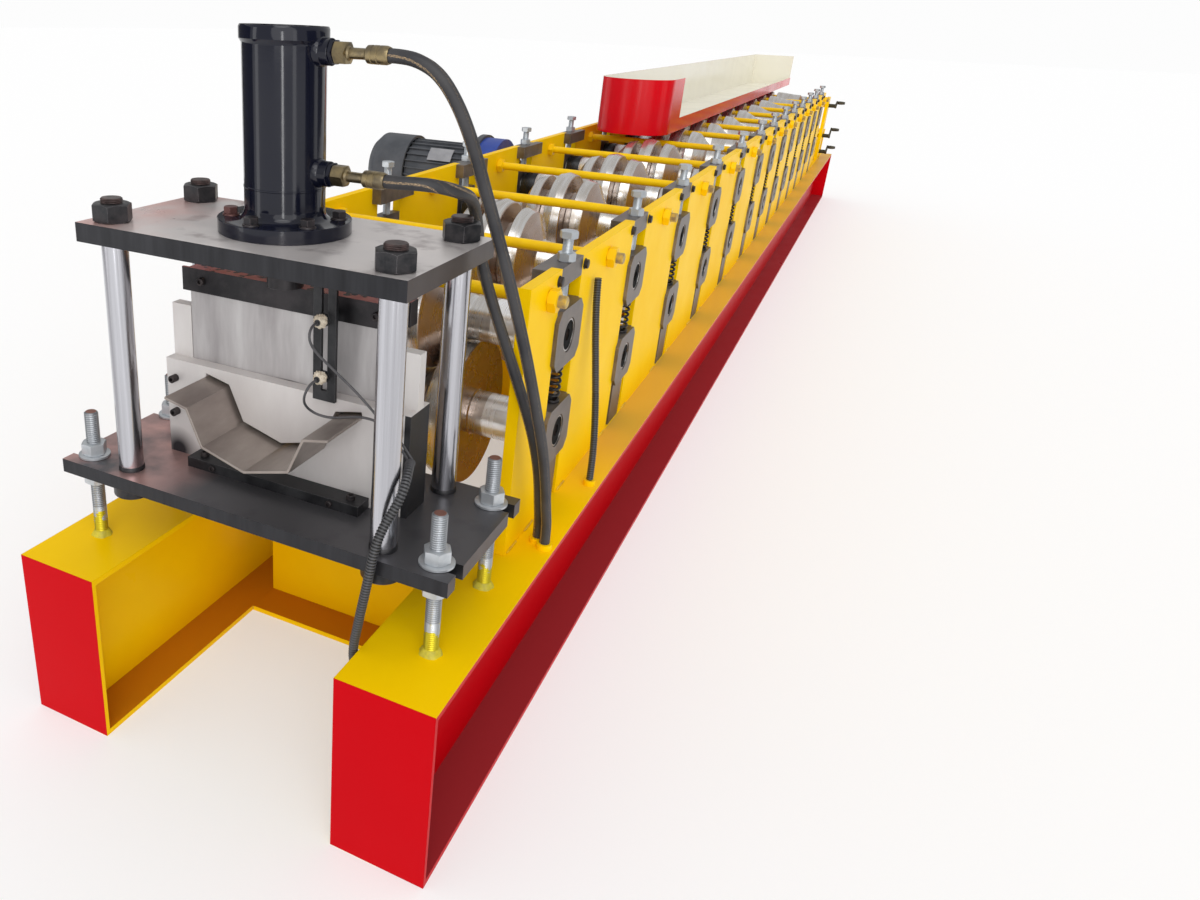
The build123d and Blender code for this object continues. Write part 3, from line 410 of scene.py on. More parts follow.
# Painted shade: the webs of the red outer sides, under the top flanges, are a darker red.
web_painted_shade = mask(tree, (away(tree, facing["X"]), ">", 0.7), (off_middle, "<", BEAM_EDGE), (off_middle, ">", WEB_FACE))
mix_in(base_enamel, web_painted_shade, (0.49, 0.0003, 0.004))
# Painted shade on the bottom flange tops of the red outer sides: dark red-brown.
mix_in(base_enamel, mask(tree, foot_painted_shade, outside), (0.29, 0.024, 0.029))
coloured(base_enamel, "base_beam_left", "base_beam_right", "cross_beams")


def piece(name, shapes, body, stands_for=(), angle=35):
    """One object from several shapes in millimetres from the machine's front centre, each with its own finish."""
    points, faces, kinds, finishes = [], [], [], []
    start = 0
    for (shape_points, shape_faces), material in shapes:
        if material not in finishes:
            finishes.append(material)
        points.append(shape_points)
        faces += [[start + corner for corner in face] for face in shape_faces]
        kinds += [finishes.index(material)] * len(shape_faces)
        start += len(shape_points)
    made = set_mesh(name, (np.concatenate(points) + ORIGIN) / 1000, faces)
    for material in finishes:
        made.data.materials.append(material)
    made.data.polygons.foreach_set("material_index", kinds)
    smooth_shade(made, angle)
    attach(made, body)
    if stands_for:
        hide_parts(*stands_for)
    return made


def repeated(shape, places):
    """The same shape at several places."""
    points, faces = shape
    places = np.asarray(places, float)
    moved = (places[:, None] + points[None]).reshape(-1, 3)
    return moved, [[number * len(points) + corner for corner in face]
                   for number in range(len(places)) for face in faces]


def mirrored(profile):
    """The profile on the other side of the middle."""
    return [(-along, radius) for along, radius in profile[::-1]]


def round_rings(axis, along, radius, turn, centre):
    """Rings of points round an axis, from each point's place along it, its distance from it and its angle."""
    rings = np.zeros(np.broadcast_shapes(along.shape, radius.shape, turn.shape) + (3,))
    rings[..., axis] = along
    rings[..., (axis + 1) % 3] = radius * np.cos(turn)
    rings[..., (axis + 2) % 3] = radius * np.sin(turn)
    return rings + np.array(centre, float)


def full_circle(sides):
    """Even angles round a circle."""
    return np.linspace(0, 2 * pi, sides, endpoint=False)


def turned(profile, axis, centre=(0, 0, 0), sides=48, closed=False):
    """Round shape: a profile of (place along the axis, radius) carried round it. A closed profile makes a ring."""
    along, radius = np.array(profile, float).T
    if closed and np.sum(along * np.roll(radius, -1) - radius * np.roll(along, -1)) > 0:
        along, radius = along[::-1], radius[::-1]
    return skin(round_rings(axis, along[:, None], radius[:, None], full_circle(sides), centre), closed)


def hexagon(across, low, high, axis, centre=(0, 0, 0), bore=0.0):
    """Nut or bolt head: radius is half the width across flats over the cosine of the angle from the flat's middle,
    and both faces fall away outside the circle that touches the flats, as a turned chamfer does."""
    turn = full_circle(36)
    corner = across / 2 / np.cos(turn % (pi / 3) - pi / 6)
    flat = np.full_like(turn, across / 2 * 0.97)
    fall = (corner - flat) * 0.5
    hole = np.full_like(turn, max(bore, 0.01))
    radius = np.stack([hole, flat, corner, corner, flat, hole])
    along = np.stack([low + 0 * turn, low + 0 * turn, low + fall, high - fall, high + 0 * turn, high + 0 * turn])
    return skin(round_rings(axis, along, radius, turn, centre))


def threaded(radius, pitch, low, high, axis, centre=(0, 0, 0), sides=20):
    """Threaded rod: the radius swings between crest and root as the place along it runs through each pitch,
    a full pitch ahead for each turn round the axis. Both ends are eased to a smaller circle."""
    turn = full_circle(sides)
    along = np.minimum(np.arange(low, high + pitch / 8, pitch / 4), high)
    phase = along[:, None] / pitch - turn[None] / (2 * pi)
    depth = 0.5 * pitch
    wave = radius - depth + 2 * depth * np.abs(phase % 1 - 0.5)
    wave = np.minimum(wave, radius - 2 * depth + np.minimum(along - low, high - along)[:, None] * 1.2)
    return skin(round_rings(axis, along[:, None], wave, turn, centre))


def bead(start, end, radius):
    """Weld bead: a thin tube along a line whose thickness swells and narrows with each drop of the weld."""
    start, end = np.array(start, float), np.array(end, float)
    length = np.linalg.norm(end - start)
    share = np.linspace(0, 1, max(6, int(length / 4)))
    path = start + share[:, None] * (end - start)
    swell = radius * (0.80 + 0.14 * np.sin(share * length / 1.3 + 3) + 0.10 * np.sin(share * length / 9 + 6))
    swell[[0, -1]] *= 0.35
    return tube(path, swell, 8, np.roll(end - start, 1) + np.array([0.31, 0.17, 0.05]) * length)


# Weld seams of the base and paint-splashed rings where the press studs are welded to it. The steel is under paint.
seam_enamel = finish("seam_enamel", (0.80, 0.50, 0.004), (0.62, 0.36, 0.01), rough=0.35, patch=30, grain=400, bump=0.4)
splash_enamel = finish("splash_enamel", (0.72, 0.62, 0.02), (0.40, 0.36, 0.04), rough=0.4, rough_second=0.6,
                       patch=60, grain=500, bump=0.5, contrast=0.8)
seams = []
for cross_y in [646 + 1606.8 * number for number in range(6)]:
    for side in (-1, 1):
        for face_y in (cross_y - 100, cross_y + 100):
            seams.append((bead((side * 284, face_y, 387), (side * 284, face_y, 399), 3.0), seam_enamel))
            seams.append((bead((side * 284, face_y, 2), (side * 284, face_y, 13), 3.0), seam_enamel))
        seams.append((bead((side * 285, cross_y - 100, 399.5), (side * 285, cross_y + 100, 399.5), 2.5), seam_enamel))
for side in (-1, 1):
    seams.append((bead((side * 381, 11, 15), (side * 381, 11, 385), 3.0), seam_enamel))
    for rim_z in (14, 386):
        seams.append((bead((side * 290, 11, rim_z), (side * 378, 11, rim_z), 2.5), seam_enamel))
weld_ring = [(400, 13.0), (399.0, 22.5), (402, 21.5), (406, 18.8), (410, 16.4), (413, 15.2)]
stud_places = [(side * 402, 280 + end * 127, 0) for side in (-1, 1) for end in (-1, 1)]
points, faces = turned(weld_ring, 2, sides=28)
round_stud = np.arctan2(points[:, 1], points[:, 0])
lump = 1 + (0.04 * np.sin(round_stud * 5) + 0.03 * np.sin(round_stud * 8 + 1)) * (points[:, 2] < 408)
points[:, :2] *= lump[:, None]
seams.append((repeated((points, faces), stud_places), splash_enamel))
piece("base_welds", seams, "machine", angle=50)


# Side plates: flame-cut plates of 25 mm steel that stand on the beams, one between each two stations. They are
# sprayed with the base, held by short welds along their feet, and carry small black bolts beside each slot.
plate_enamel = finish("plate_enamel", YELLOW, DEEP_YELLOW, rough=0.28, rough_second=0.42, patch=4, contrast=1.0,
                      grain=140, bump=0.14, depth=0.0007, edge=0.0018, gleam=0.03)
tree = plate_enamel.node_tree
place = measures(tree)[0]
# Painted shade: the inner faces of the left plates turn red-brown towards the bottom.
inner_left_painted_shade = mask(tree, (place["X"], "<", -0.0885), (place["X"], ">", -0.0900))
mix_in(plate_enamel, mask(tree, inner_left_painted_shade, ramp(tree, place["Z"], 0.88, 0.74), 0.85), (0.50, 0.155, 0.02))
coloured(plate_enamel, "side_plates")
FIRST_STATION, WIDE_PITCH, CLOSE_PITCH, SLOT_WIDTH = 804, 610, 500, 150
station_ys = [FIRST_STATION + WIDE_PITCH * step for step in range(6)]
station_ys += [station_ys[-1] + CLOSE_PITCH * step for step in range(1, 8)]
plate_starts = [535] + [y + SLOT_WIDTH / 2 for y in station_ys]
plate_ends = [y - SLOT_WIDTH / 2 for y in station_ys] + [7650]
feet = []
for start, end in zip(plate_starts, plate_ends):
    for side in (-1, 1):
        for face_x in (372, 399):
            for begin in (start + 12, end - 72):
                feet.append((bead((side * face_x, begin, 401.5), (side * face_x, begin + 60, 401.5), 4.0), seam_enamel))
piece("plate_welds", feet, "machine", angle=50)

black_bolt = finish("black_bolt", (0.020, 0.018, 0.020), (0.055, 0.045, 0.045), metal=0.6, rough=0.38,
                    rough_second=0.55, patch=60, grain=500, bump=0.15)
washer = [(0, 0.01), (0, 12.5), (1.6, 12.5), (2, 12), (2, 0.01)]
bolts = []
for side, low, profile in ((1, 0, washer), (-1, -9, mirrored(washer))):
    places = [(side * 398, y + end * 92, 977) for y in station_ys for end in (-1, 1) if y + end * 92 < 7500]
    bolts.append((repeated(hexagon(19, low, low + 9, 0), places), black_bolt))
    bolts.append((repeated(turned(profile, 0, sides=24), places), black_bolt))
piece("cap_bolts", bolts, "machine")


# Tie rods: round bars through both plates with a nut on each face of each plate, painted with the plates.
rod_enamel = finish("rod_enamel", (0.95, 0.62, 0.002), (0.84, 0.49, 0.002), rough=0.25, rough_second=0.4, patch=12,
                    grain=260, bump=0.2, contrast=0.9, gleam=0.2)
worn_thread = finish("worn_thread", (0.62, 0.42, 0.08), (0.30, 0.22, 0.12), metal=0.3, rough=0.45, patch=70, grain=500,
                     bump=0.3)
rod_ys = [660] + [(start + end) / 2 for start, end in list(zip(plate_starts, plate_ends))[1:]]
rod_places = [(0, y, 950) for y in rod_ys]
rods = [(repeated(turned([(-400, 0.01), (-400, 14), (400, 14), (400, 0.01)], 0, sides=28), rod_places), rod_enamel)]
for low in (-418, -373, 353, 398):
    rods.append((repeated(hexagon(46, low, low + 20, 0), rod_places), rod_enamel))
for low in (400, -436):
    rods.append((repeated(threaded(14, 2.5, low, low + 36, 0, sides=16), rod_places), worn_thread))
piece("tie_rod_set", rods, "machine", ["tie_rods"])


# Bearing blocks: milled steel blocks that slide in the slots, oiled and dark, with the races of their bearings.
block_steel = finish("block_steel", (0.09, 0.080, 0.075), (0.26, 0.225, 0.205), metal=0.75, rough=0.34,
                     rough_second=0.5, patch=18, grain=350, bump=0.15, edge=0.0015, edge_colour=(0.40, 0.36, 0.34),
                     contrast=1.0)
coloured(block_steel, "bearing_blocks", "slot_caps")
race_steel = finish("race_steel", (0.30, 0.29, 0.28), (0.42, 0.40, 0.38), metal=1.0, rough=0.25, patch=30, grain=300,
                    bump=0.05)
seal_black = finish("seal_black", (0.006, 0.006, 0.006), (0.012, 0.012, 0.012), rough=0.7, patch=40, grain=500,
                    bump=0.1, gleam=0.05)
LOWER_Z, UPPER_Z = 600, 835
race = [(400, 38), (400, 34), (403, 33.5), (406, 34), (406, 38)]
seal = [(402, 33.6), (402, 14), (404, 14), (404, 33.6)]
races = []
for profiles, heights in (((race, seal), (LOWER_Z, UPPER_Z)), ((mirrored(race), mirrored(seal)), (UPPER_Z,))):
    shaft_places = [(0, y, z) for y in station_ys for z in heights]
    for profile, material in zip(profiles, (race_steel, seal_black)):
        races.append((repeated(turned(profile, 0, sides=40, closed=True), shaft_places), material))
piece("bearing_races", races, "machine")


# Springs: black coil springs between the lower and upper blocks, with their end turns closed and flat.
spring_steel = finish("spring_steel", (0.012, 0.012, 0.013), (0.04, 0.035, 0.035), metal=0.5, rough=0.35, patch=60,
                      grain=400, bump=0.1)
turns, wire, height = 7.5, 3.4, 95.0
share = np.linspace(0, 1, int(turns * 16))
climb = np.clip((share - 0.12) / 0.76, 0, 1)
angle = 2 * pi * turns * share
helix = np.stack([14.3 * np.cos(angle), 14.3 * np.sin(angle), 670 + wire + climb * (height - 2 * wire)
                  + wire * 0.9 * (np.minimum(share, 0.12) + np.maximum(share - 0.88, 0)) / 0.12 - wire * 0.9], -1)
coil = tube(helix, np.full(len(helix), wire), 8, (0, 0, 1))
spring_places = [(side * 385.5, y, 0) for side in (-1, 1) for y in station_ys]
piece("coil_springs", [(repeated(coil, spring_places), spring_steel)], "machine", ["block_springs"],
      angle=60)


# Adjusting screws: zinc-plated M24 screws with a hexagon head, through the caps, each with a lock nut.
zinc = finish("zinc", (0.66, 0.69, 0.72), (0.52, 0.56, 0.60), metal=0.85, rough=0.32, rough_second=0.48, patch=60,
              grain=450, bump=0.15, contrast=0.9)
screw_places = [(side * 381, y, 0) for side in (-1, 1) for y in station_ys]
piece("cap_screws", [(repeated(threaded(12, 3.0, 905, 1052, 2, sides=16), screw_places), zinc),
                     (repeated(hexagon(36, 1050, 1066, 2), screw_places), zinc),
                     (repeated(hexagon(36, 1000, 1019, 2, bore=12), screw_places), zinc)],
      "machine", ["adjusting_screws"])


# Rolls: thirteen pairs of lathe-turned, polished tool-steel discs with sleeves and spacers on their shafts. The
# outline of each pair follows the strip as it is bent there: flat at the entry, full section at the exit.
roll_steel = finish("roll_steel", (0.72, 0.71, 0.70), (0.54, 0.50, 0.46), metal=0.9, rough=0.20, rough_second=0.34,
                    patch=7, contrast=0.6, grain=220, bump=0.012, stretch=(9, 1, 1))
tree = roll_steel.node_tree
place, facing = measures(tree)
from_middle, sideways = away(tree, place["X"], MIDDLE_X), away(tree, facing["X"])
# Painted reflection: the flat sides of the discs are tinted brown, for the yellow plates reflected in them.
mix_in(roll_steel, mask(tree, (sideways, ">", 0.6), 0.75), (0.40, 0.27, 0.205))
# Painted sheen: the sleeves are lighter and less metallic than the discs, standing in for their bright reflection.
sleeve_painted_sheen = mask(tree, (from_middle, ">", 0.238), (sideways, "<", 0.3))
mix_in(roll_steel, sleeve_painted_sheen, (0.90, 0.90, 0.91))
tree.links.new(node(tree, "ShaderNodeMapRange", {"Value": sleeve_painted_sheen, "To Min": 0.9, "To Max": 0.5}).outputs[0],
               tree.nodes["Principled BSDF"].inputs["Metallic"])
mix_in(roll_steel, mask(tree, (from_middle, ">", 0.3072), (from_middle, "<", 0.371)), (0.02, 0.02, 0.022))
sprocket_steel = finish("sprocket_steel", (0.16, 0.15, 0.14), (0.30, 0.28, 0.26), metal=0.9, rough=0.38, patch=25,
                        grain=400, bump=0.15, edge=0.001)


def strip_line(share):
    """Middle line of half the strip: three lengths laid end to end, each at its share of its full angle."""
    lip = 12.0 + (1 - share) * (65.5 - 12.0) * share
    headings = np.radians(np.array([15.5, 65.5, lip]) * share)
    steps = np.array([103.0, 80.0, 53.0])[:, None] * np.stack([np.cos(headings), np.sin(headings)], -1)
    return np.concatenate([[[0.0, 669.5]], [0.0, 669.5] + np.cumsum(steps, axis=0)])


def set_off(line, distance):
    """Line beside a line: each corner is moved along the middle of its two sides' upper directions."""
    step = np.diff(line, axis=0)
    heading = np.arctan2(step[:, 1], step[:, 0])
    before, after = np.r_[heading[:1], heading], np.r_[heading, heading[-1:]]
    middle = (before + after) / 2 + pi / 2
    reach = distance / np.cos((after - before) / 2)
    return line + reach[:, None] * np.stack([np.cos(middle), np.sin(middle)], -1)


def eased(profile, size):
    """The profile with each corner cut: two points on its sides, size or a third of the side away from it."""
    points = np.array(profile, float)
    inner = points[1:-1]
    back, on = points[:-2] - inner, points[2:] - inner
    back_length, on_length = np.linalg.norm(back, axis=1), np.linalg.norm(on, axis=1)
    first = inner + back * (np.minimum(size, back_length / 3) / back_length)[:, None]
    second = inner + on * (np.minimum(size, on_length / 3) / on_length)[:, None]
    return np.concatenate([points[:1], np.stack([first, second], 1).reshape(-1, 2), points[-1:]])


def groove(x, radius):
    """The three points of a fine groove in a turned surface."""
    return [(x - 1.6, radius), (x, radius - 2.2), (x + 1.6, radius)]


def toothed_wheel(middle, height):
    """Chain wheel of 20 teeth: the rim's radius swings 8.5 mm about 97 mm as a cosine of 20 times the angle."""
    turn = full_circle(160)
    rim = 97 - 8.5 * np.cos(20 * turn)
    flat = np.full_like(turn, 46.0)
    radius = np.stack([flat, np.minimum(rim, 91), rim, rim, np.minimum(rim, 91), flat])
    along = np.array([-6.5, -6.5, -3.5, 3.5, 6.5, 6.5])
    return skin(round_rings(0, along[:, None], radius, turn, (middle, *height)))


# Outer end of a roll set: sleeve, seam, collar against the plate and the journal, which goes through the plate on
# the right and carries the chain wheels on the lower left
collar_end = [*groove(304, 54), (307.5, 54), (307.5, 57.5), (366, 57.5), (366, 39)]
journal_end = collar_end + [(386, 39), (386, 0.01)]
CHAIN_X, MOTOR_CHAIN_X, MOTOR_CHAIN_STATION = -424, -452, 4
MOTOR_Y, MOTOR_Z = 2700, 832


for number, y in enumerate(station_ys, start=1):
    share = 1.0 - 0.985 * max(0, number - 2) / 12
    line = strip_line(share)
    above, below = set_off(line, 2.5), set_off(line, -2.5)
    crown, shoulder, flank = [UPPER_Z - np.interp(x, above[:, 0], above[:, 1]) for x in (0, 28, 62)]
    upper = [(0.001, crown), (28, shoulder), (28, 96), (62, 96), (62, flank)]
    upper += [(x, UPPER_Z - z) for x, z in above[1:] if x > 64]
    upper += [(upper[-1][0] + 0.02, 54)] if upper[-1][1] > 58 else []
    upper += journal_end
    shapes = [(turned(eased(mirrored(upper) + upper, 2.2), 0, (0, y, UPPER_Z), 72), roll_steel)]
    piece(f"upper_roll_set_{number:02d}", shapes, f"upper_shaft_{number:02d}",
          [f"upper_rolls_{number:02d}"], angle=30)
    lower = [(0.001, below[0, 1] - LOWER_Z)] + [(x, z - LOWER_Z) for x, z in below[1:]]
    lower += [(lower[-1][0] + 16, lower[-1][1]), (lower[-1][0] + 16, 54)]
    wheels = [CHAIN_X, MOTOR_CHAIN_X] if number == MOTOR_CHAIN_STATION else [CHAIN_X]
    hub_end = wheels[-1] - 12
    left_half = [(hub_end, 0.01), (hub_end, 45), *mirrored(lower + collar_end + [(412, 39), (412, 45)])]
    shapes = [(turned(eased(left_half + lower + journal_end, 2.2), 0, (0, y, LOWER_Z), 72), roll_steel)]
    shapes += [(toothed_wheel(middle, (y, LOWER_Z)), sprocket_steel) for middle in wheels]
    piece(f"lower_roll_set_{number:02d}", shapes, f"lower_shaft_{number:02d}",
          [f"lower_rolls_{number:02d}"], angle=30)


# Drive chains: oiled steel roller chain, a long loop round all lower shafts and a short one up to the reducer.
chain_steel = finish("chain_steel", (0.07, 0.065, 0.06), (0.17, 0.15, 0.13), metal=0.85, rough=0.36, rough_second=0.5,
                     patch=60, grain=500, bump=0.1, edge=0.0006, edge_colour=(0.4, 0.38, 0.36))


def chain_loop(middle_x, start, end):
    """Links round two wheels: for each link's distance along the loop, two straights and two half circles of radius
    98.8 give its place and heading; outer and inner links take turns, and each has a roller on its joint."""
    start, end = np.array(start, float), np.array(end, float)
    run = np.linalg.norm(end - start)
    lean = atan2(*(end - start)[::-1])
    reach, bend = 98.8, pi * 98.8
    total = 2 * run + 2 * bend
    count = int(round(total / 30.9 / 2)) * 2
    along = np.arange(count) * total / count
    pitch = total / count

    def on_loop(distance):
        distance = distance % total
        part = np.digitize(distance, [run, run + bend, 2 * run + bend])
        left = distance - np.choose(part, [0, run, run + bend, 2 * run + bend])
        turn = left / reach
        flat_x = np.choose(part, [left, run + reach * np.sin(turn), run - left, -reach * np.sin(turn)])
        flat_z = np.choose(part, [-reach + 0 * left, -reach * np.cos(turn), reach + 0 * left, reach * np.cos(turn)])
        return start + np.stack([flat_x * cos(lean) - flat_z * sin(lean), flat_x * sin(lean) + flat_z * cos(lean)], -1)

    joints, following = on_loop(along), on_loop(along + pitch)
    heading = following - joints
    heading /= np.linalg.norm(heading, axis=1)[:, None]
    upright = np.stack([-heading[:, 1], heading[:, 0]], -1)
    shapes = []
    turn = np.linspace(0, 2 * pi, 12, endpoint=False)
    outline = np.stack([np.cos(turn) * 8.6 + np.where(np.cos(turn) > 0, pitch, 0), np.sin(turn) * 8.6], -1)
    for kind, offsets in ((0, (5.2, 7.6)), (1, (8.0, 10.4))):
        for side in (-1, 1):
            ends = sorted(side * offset for offset in offsets)
            flat = np.stack([np.r_[np.full(12, ends[0]), np.full(12, ends[1])], *np.tile(outline, (2, 1)).T], -1)
            points, faces = skin(flat.reshape(2, 12, 3))
            chosen = np.arange(kind, count, 2)
            spot = joints[chosen][:, None] + points[None, :, 1:2] * heading[chosen][:, None] \
                + points[None, :, 2:3] * upright[chosen][:, None]
            moved = np.concatenate([np.broadcast_to(points[None, :, :1] + middle_x, spot.shape[:2] + (1,)), spot], -1)
            faces = [[number * 24 + corner for corner in face] for number in range(len(chosen)) for face in faces]
            shapes.append(((moved.reshape(-1, 3), faces), chain_steel))
    places = np.c_[np.full(count, middle_x), joints]
    for reach_x, size, sides in ((5.2, 8.4, 10), (11, 3.6, 8)):
        roller = turned([(-reach_x, 0.01), (-reach_x, size), (reach_x, size), (reach_x, 0.01)], 0, sides=sides)
        shapes.append((repeated(roller, places), chain_steel))
    return shapes


long_loop = chain_loop(CHAIN_X, (station_ys[0], LOWER_Z), (station_ys[-1], LOWER_Z))
motor_loop = chain_loop(MOTOR_CHAIN_X, (station_ys[MOTOR_CHAIN_STATION - 1], LOWER_Z), (MOTOR_Y, MOTOR_Z))
piece("roller_chains", long_loop + motor_loop, "machine", ["drive_chains"])


# Motor: a finned cast body in dark grey enamel, with a pressed fan cover, a wire grille and a bare rating plate.
motor_enamel = finish("motor_enamel", (0.045, 0.050, 0.060), (0.075, 0.080, 0.092), rough=0.42, rough_second=0.55,
                      patch=12, grain=260, bump=0.3, depth=0.0008, edge=0.001, edge_colour=(0.16, 0.16, 0.17))
reducer_enamel = finish("reducer_enamel", (0.015, 0.045, 0.26), (0.02, 0.06, 0.33), rough=0.35, rough_second=0.5,
                        patch=9, grain=200, bump=0.25, depth=0.0008, edge=0.002)
bare_plate = finish("bare_plate", (0.30, 0.30, 0.32), (0.38, 0.38, 0.40), metal=0.5, rough=0.4, patch=20, grain=300,
                    bump=0.1)
coloured(motor_enamel, "motor")
coloured(reducer_enamel, "gear_reducer")
cover = [(-1090, 104), (-1090, 114), (-1087, 121), (-1075, 131), (-1056, 148), (-1052, 149.6), (-1048, 150),
         (-962, 150), (-958, 150), (-905, 150), (-905, 139), (-907, 138), (-907, 147), (-1050, 147), (-1070, 128),
         (-1086, 112), (-1086, 104)]
fan = [(-1080, 0.01), (-1080, 30), (-1074, 34), (-1074, 110), (-1070, 110), (-1070, 0.01)]
shapes = [(turned(cover, 0, (0, MOTOR_Y, MOTOR_Z), 72, closed=True), motor_enamel),
          (turned(fan, 0, (0, MOTOR_Y, MOTOR_Z), 48), seal_black)]
turn = np.linspace(0, 2 * pi, 49)
for radius in (24, 40, 56, 72, 88, 104):
    wire = np.stack([np.full(49, -1087.0), MOTOR_Y + radius * np.cos(turn), MOTOR_Z + radius * np.sin(turn)], -1)
    shapes.append((tube(wire, np.full(49, 2.0), 6, (1, 0, 0)), motor_enamel))
for number in range(8):
    spoke = np.array([cos(number * pi / 4), sin(number * pi / 4)])
    spoke_places = np.array([MOTOR_Y, MOTOR_Z]) + np.linspace(24, 106, 6)[:, None] * spoke
    shapes.append((tube(np.c_[np.full(6, -1086.0), spoke_places], np.full(6, 2.2), 6, (1, 0, 0)), motor_enamel))
piece("fan_cover", shapes, "machine", ["motor_fan_cover"])
lean = radians(138)
plate_points = [(x, MOTOR_Y + radius * cos(lean + swing), MOTOR_Z + radius * sin(lean + swing))
                for x, radius in ((-800, 140.5), (-800, 142), (-690, 142), (-690, 140.5))
                for swing in (-0.22, 0, 0.22)]
plate_faces = [[row * 3 + col, (row + 1) % 4 * 3 + col, (row + 1) % 4 * 3 + col + 1, row * 3 + col + 1]
               for row in range(4) for col in range(2)] + [[9, 6, 3, 0], [2, 5, 8, 11]]
piece("rating_plate", [((np.array(plate_points), plate_faces), bare_plate)], "machine")
coloured(plate_enamel, "motor_stand")


# Chain guard: folded sheet, red outside and cream inside, taken off its brackets and laid over the entry side.
guard_enamel = finish("guard_enamel", (0.70, 0.001, 0.008), (0.62, 0.001, 0.008), rough=0.16, rough_second=0.24,
                      patch=2.5, grain=60, bump=0.05, edge=0.0008, gleam=0.22)
tree = guard_enamel.node_tree
place = measures(tree)[0]
aside = away(tree, place["X"], 0.150)
before = calculate(tree, "MAXIMUM", calculate(tree, "SUBTRACT", -0.970, place["Y"]), 0.0)
within = mask(tree, (distance(tree, aside, before), "<", 0.1634), (place["Z"], ">", 1.0065), (place["Y"], "<", 4.0035))
mix_in(guard_enamel, within, (0.80, 0.77, 0.66))
coloured(guard_enamel, "chain_guard")


# Entry guide: a welded stand with a table and guide bars, set by screws that black hand cranks turn.
crank_black = finish("crank_black", (0.035, 0.032, 0.022), (0.10, 0.09, 0.06), metal=0.5, rough=0.4, rough_second=0.55,
                     patch=50, grain=400, bump=0.2, edge=0.001, edge_colour=(0.3, 0.28, 0.22))
guide_enamel = finish("guide_enamel", YELLOW, DEEP_YELLOW, rough=0.28, rough_second=0.42, patch=4, grain=140, bump=0.14,
                      depth=0.0007, edge=0.0018, gleam=0.03)
tree = guide_enamel.node_tree
mix_in(guide_enamel, mask(tree, (measures(tree)[0]["X"], ">", 0.6845)), (0.05, 0.046, 0.03))
coloured(guide_enamel, "entry_guide")
CRANK_Y, CRANK_REACH = 8280, 110
knob = [(461, 0.01), (461, 11.4), (464, 13), (480, 14.5), (505, 13), (516, 11), (520, 6), (520, 0.01)]
hub = [(450, 0.01), (450, 19), (463, 19), (464, 17), (464, 0.01)]
grips = []
for shaft_z, lean in zip((470, 606, 860), (16, 26, 11)):
    grip = (0, CRANK_Y + CRANK_REACH * cos(radians(lean)), shaft_z + CRANK_REACH * sin(radians(lean)))
    grips.append((turned(knob, 0, grip, 24), crank_black))
    grips.append((turned(hub, 0, (0, CRANK_Y, shaft_z), 28), crank_black))
piece("crank_grips", grips, "machine")


# Press plates: thick steel plates with ground faces and black, flame-cut sides whose arrises are worn bright.
plate_steel = finish("plate_steel", (0.66, 0.62, 0.61), (0.80, 0.75, 0.73), metal=0.55, rough=0.27, rough_second=0.42,
                     patch=5, contrast=0.8, grain=260, bump=0.06, edge=0.0012, edge_colour=(0.5, 0.48, 0.48))
tree = plate_steel.node_tree
place, facing = measures(tree)
mix_in(plate_steel, ramp(tree, noise(tree, 15.0, 6.0), 0.56, 0.70, 0.55), (0.24, 0.19, 0.19))
# Painted shade: the top of the lower plate, under the upper plate, is darkened almost to black.
mix_in(plate_steel, mask(tree, (place["Z"], "<", 0.7), 0.92), (0.045, 0.047, 0.056))
leftward, blush = ramp(tree, place["X"], 0.17, 0.00), ramp(tree, noise(tree, 7.0, 5.0), 0.34, 0.60, 0.8)
mix_in(plate_steel, mask(tree, leftward, blush), (0.74, 0.42, 0.38))
mill_scale = blend(tree, noise(tree, 1.0, 4.0, (60, 60, 6)), (0.007, 0.007, 0.009), (0.042, 0.042, 0.048))
mix_in(plate_steel, mask(tree, (away(tree, facing["Z"]), "<", 0.5)), mill_scale)
# Painted light: the sides that face right get a brown tint over the mill scale.
mix_in(plate_steel, mask(tree, (facing["X"], ">", 0.5), 0.6), (0.05, 0.03, 0.025))
coloured(plate_steel, "press_lower_plate", "press_upper_plate")


# Press studs: M30 zinc-plated threaded rods welded to the beams, with a nut and a washer on both sides of the plate.
# The spray of the base has coloured their feet.
stud_zinc = finish("stud_zinc", (0.64, 0.66, 0.68), (0.50, 0.53, 0.56), metal=0.8, rough=0.36, rough_second=0.52,
                   patch=50, grain=450, bump=0.15, contrast=0.9)
tree = stud_zinc.node_tree
place, facing = measures(tree)
STUD_X, STUD_Y, PRESS_Y = 0.402, 0.127, 4.115
spray_line = calculate(tree, "ADD", 0.395, calculate(tree, "MULTIPLY", noise(tree, 60.0, 4.0), 0.11))
mix_in(stud_zinc, calculate(tree, "LESS_THAN", place["Z"], spray_line), (0.66, 0.56, 0.03))
off_x = calculate(tree, "SUBTRACT", away(tree, place["X"], MIDDLE_X), STUD_X)
off_y = calculate(tree, "SUBTRACT", away(tree, place["Y"], -PRESS_Y), STUD_Y)
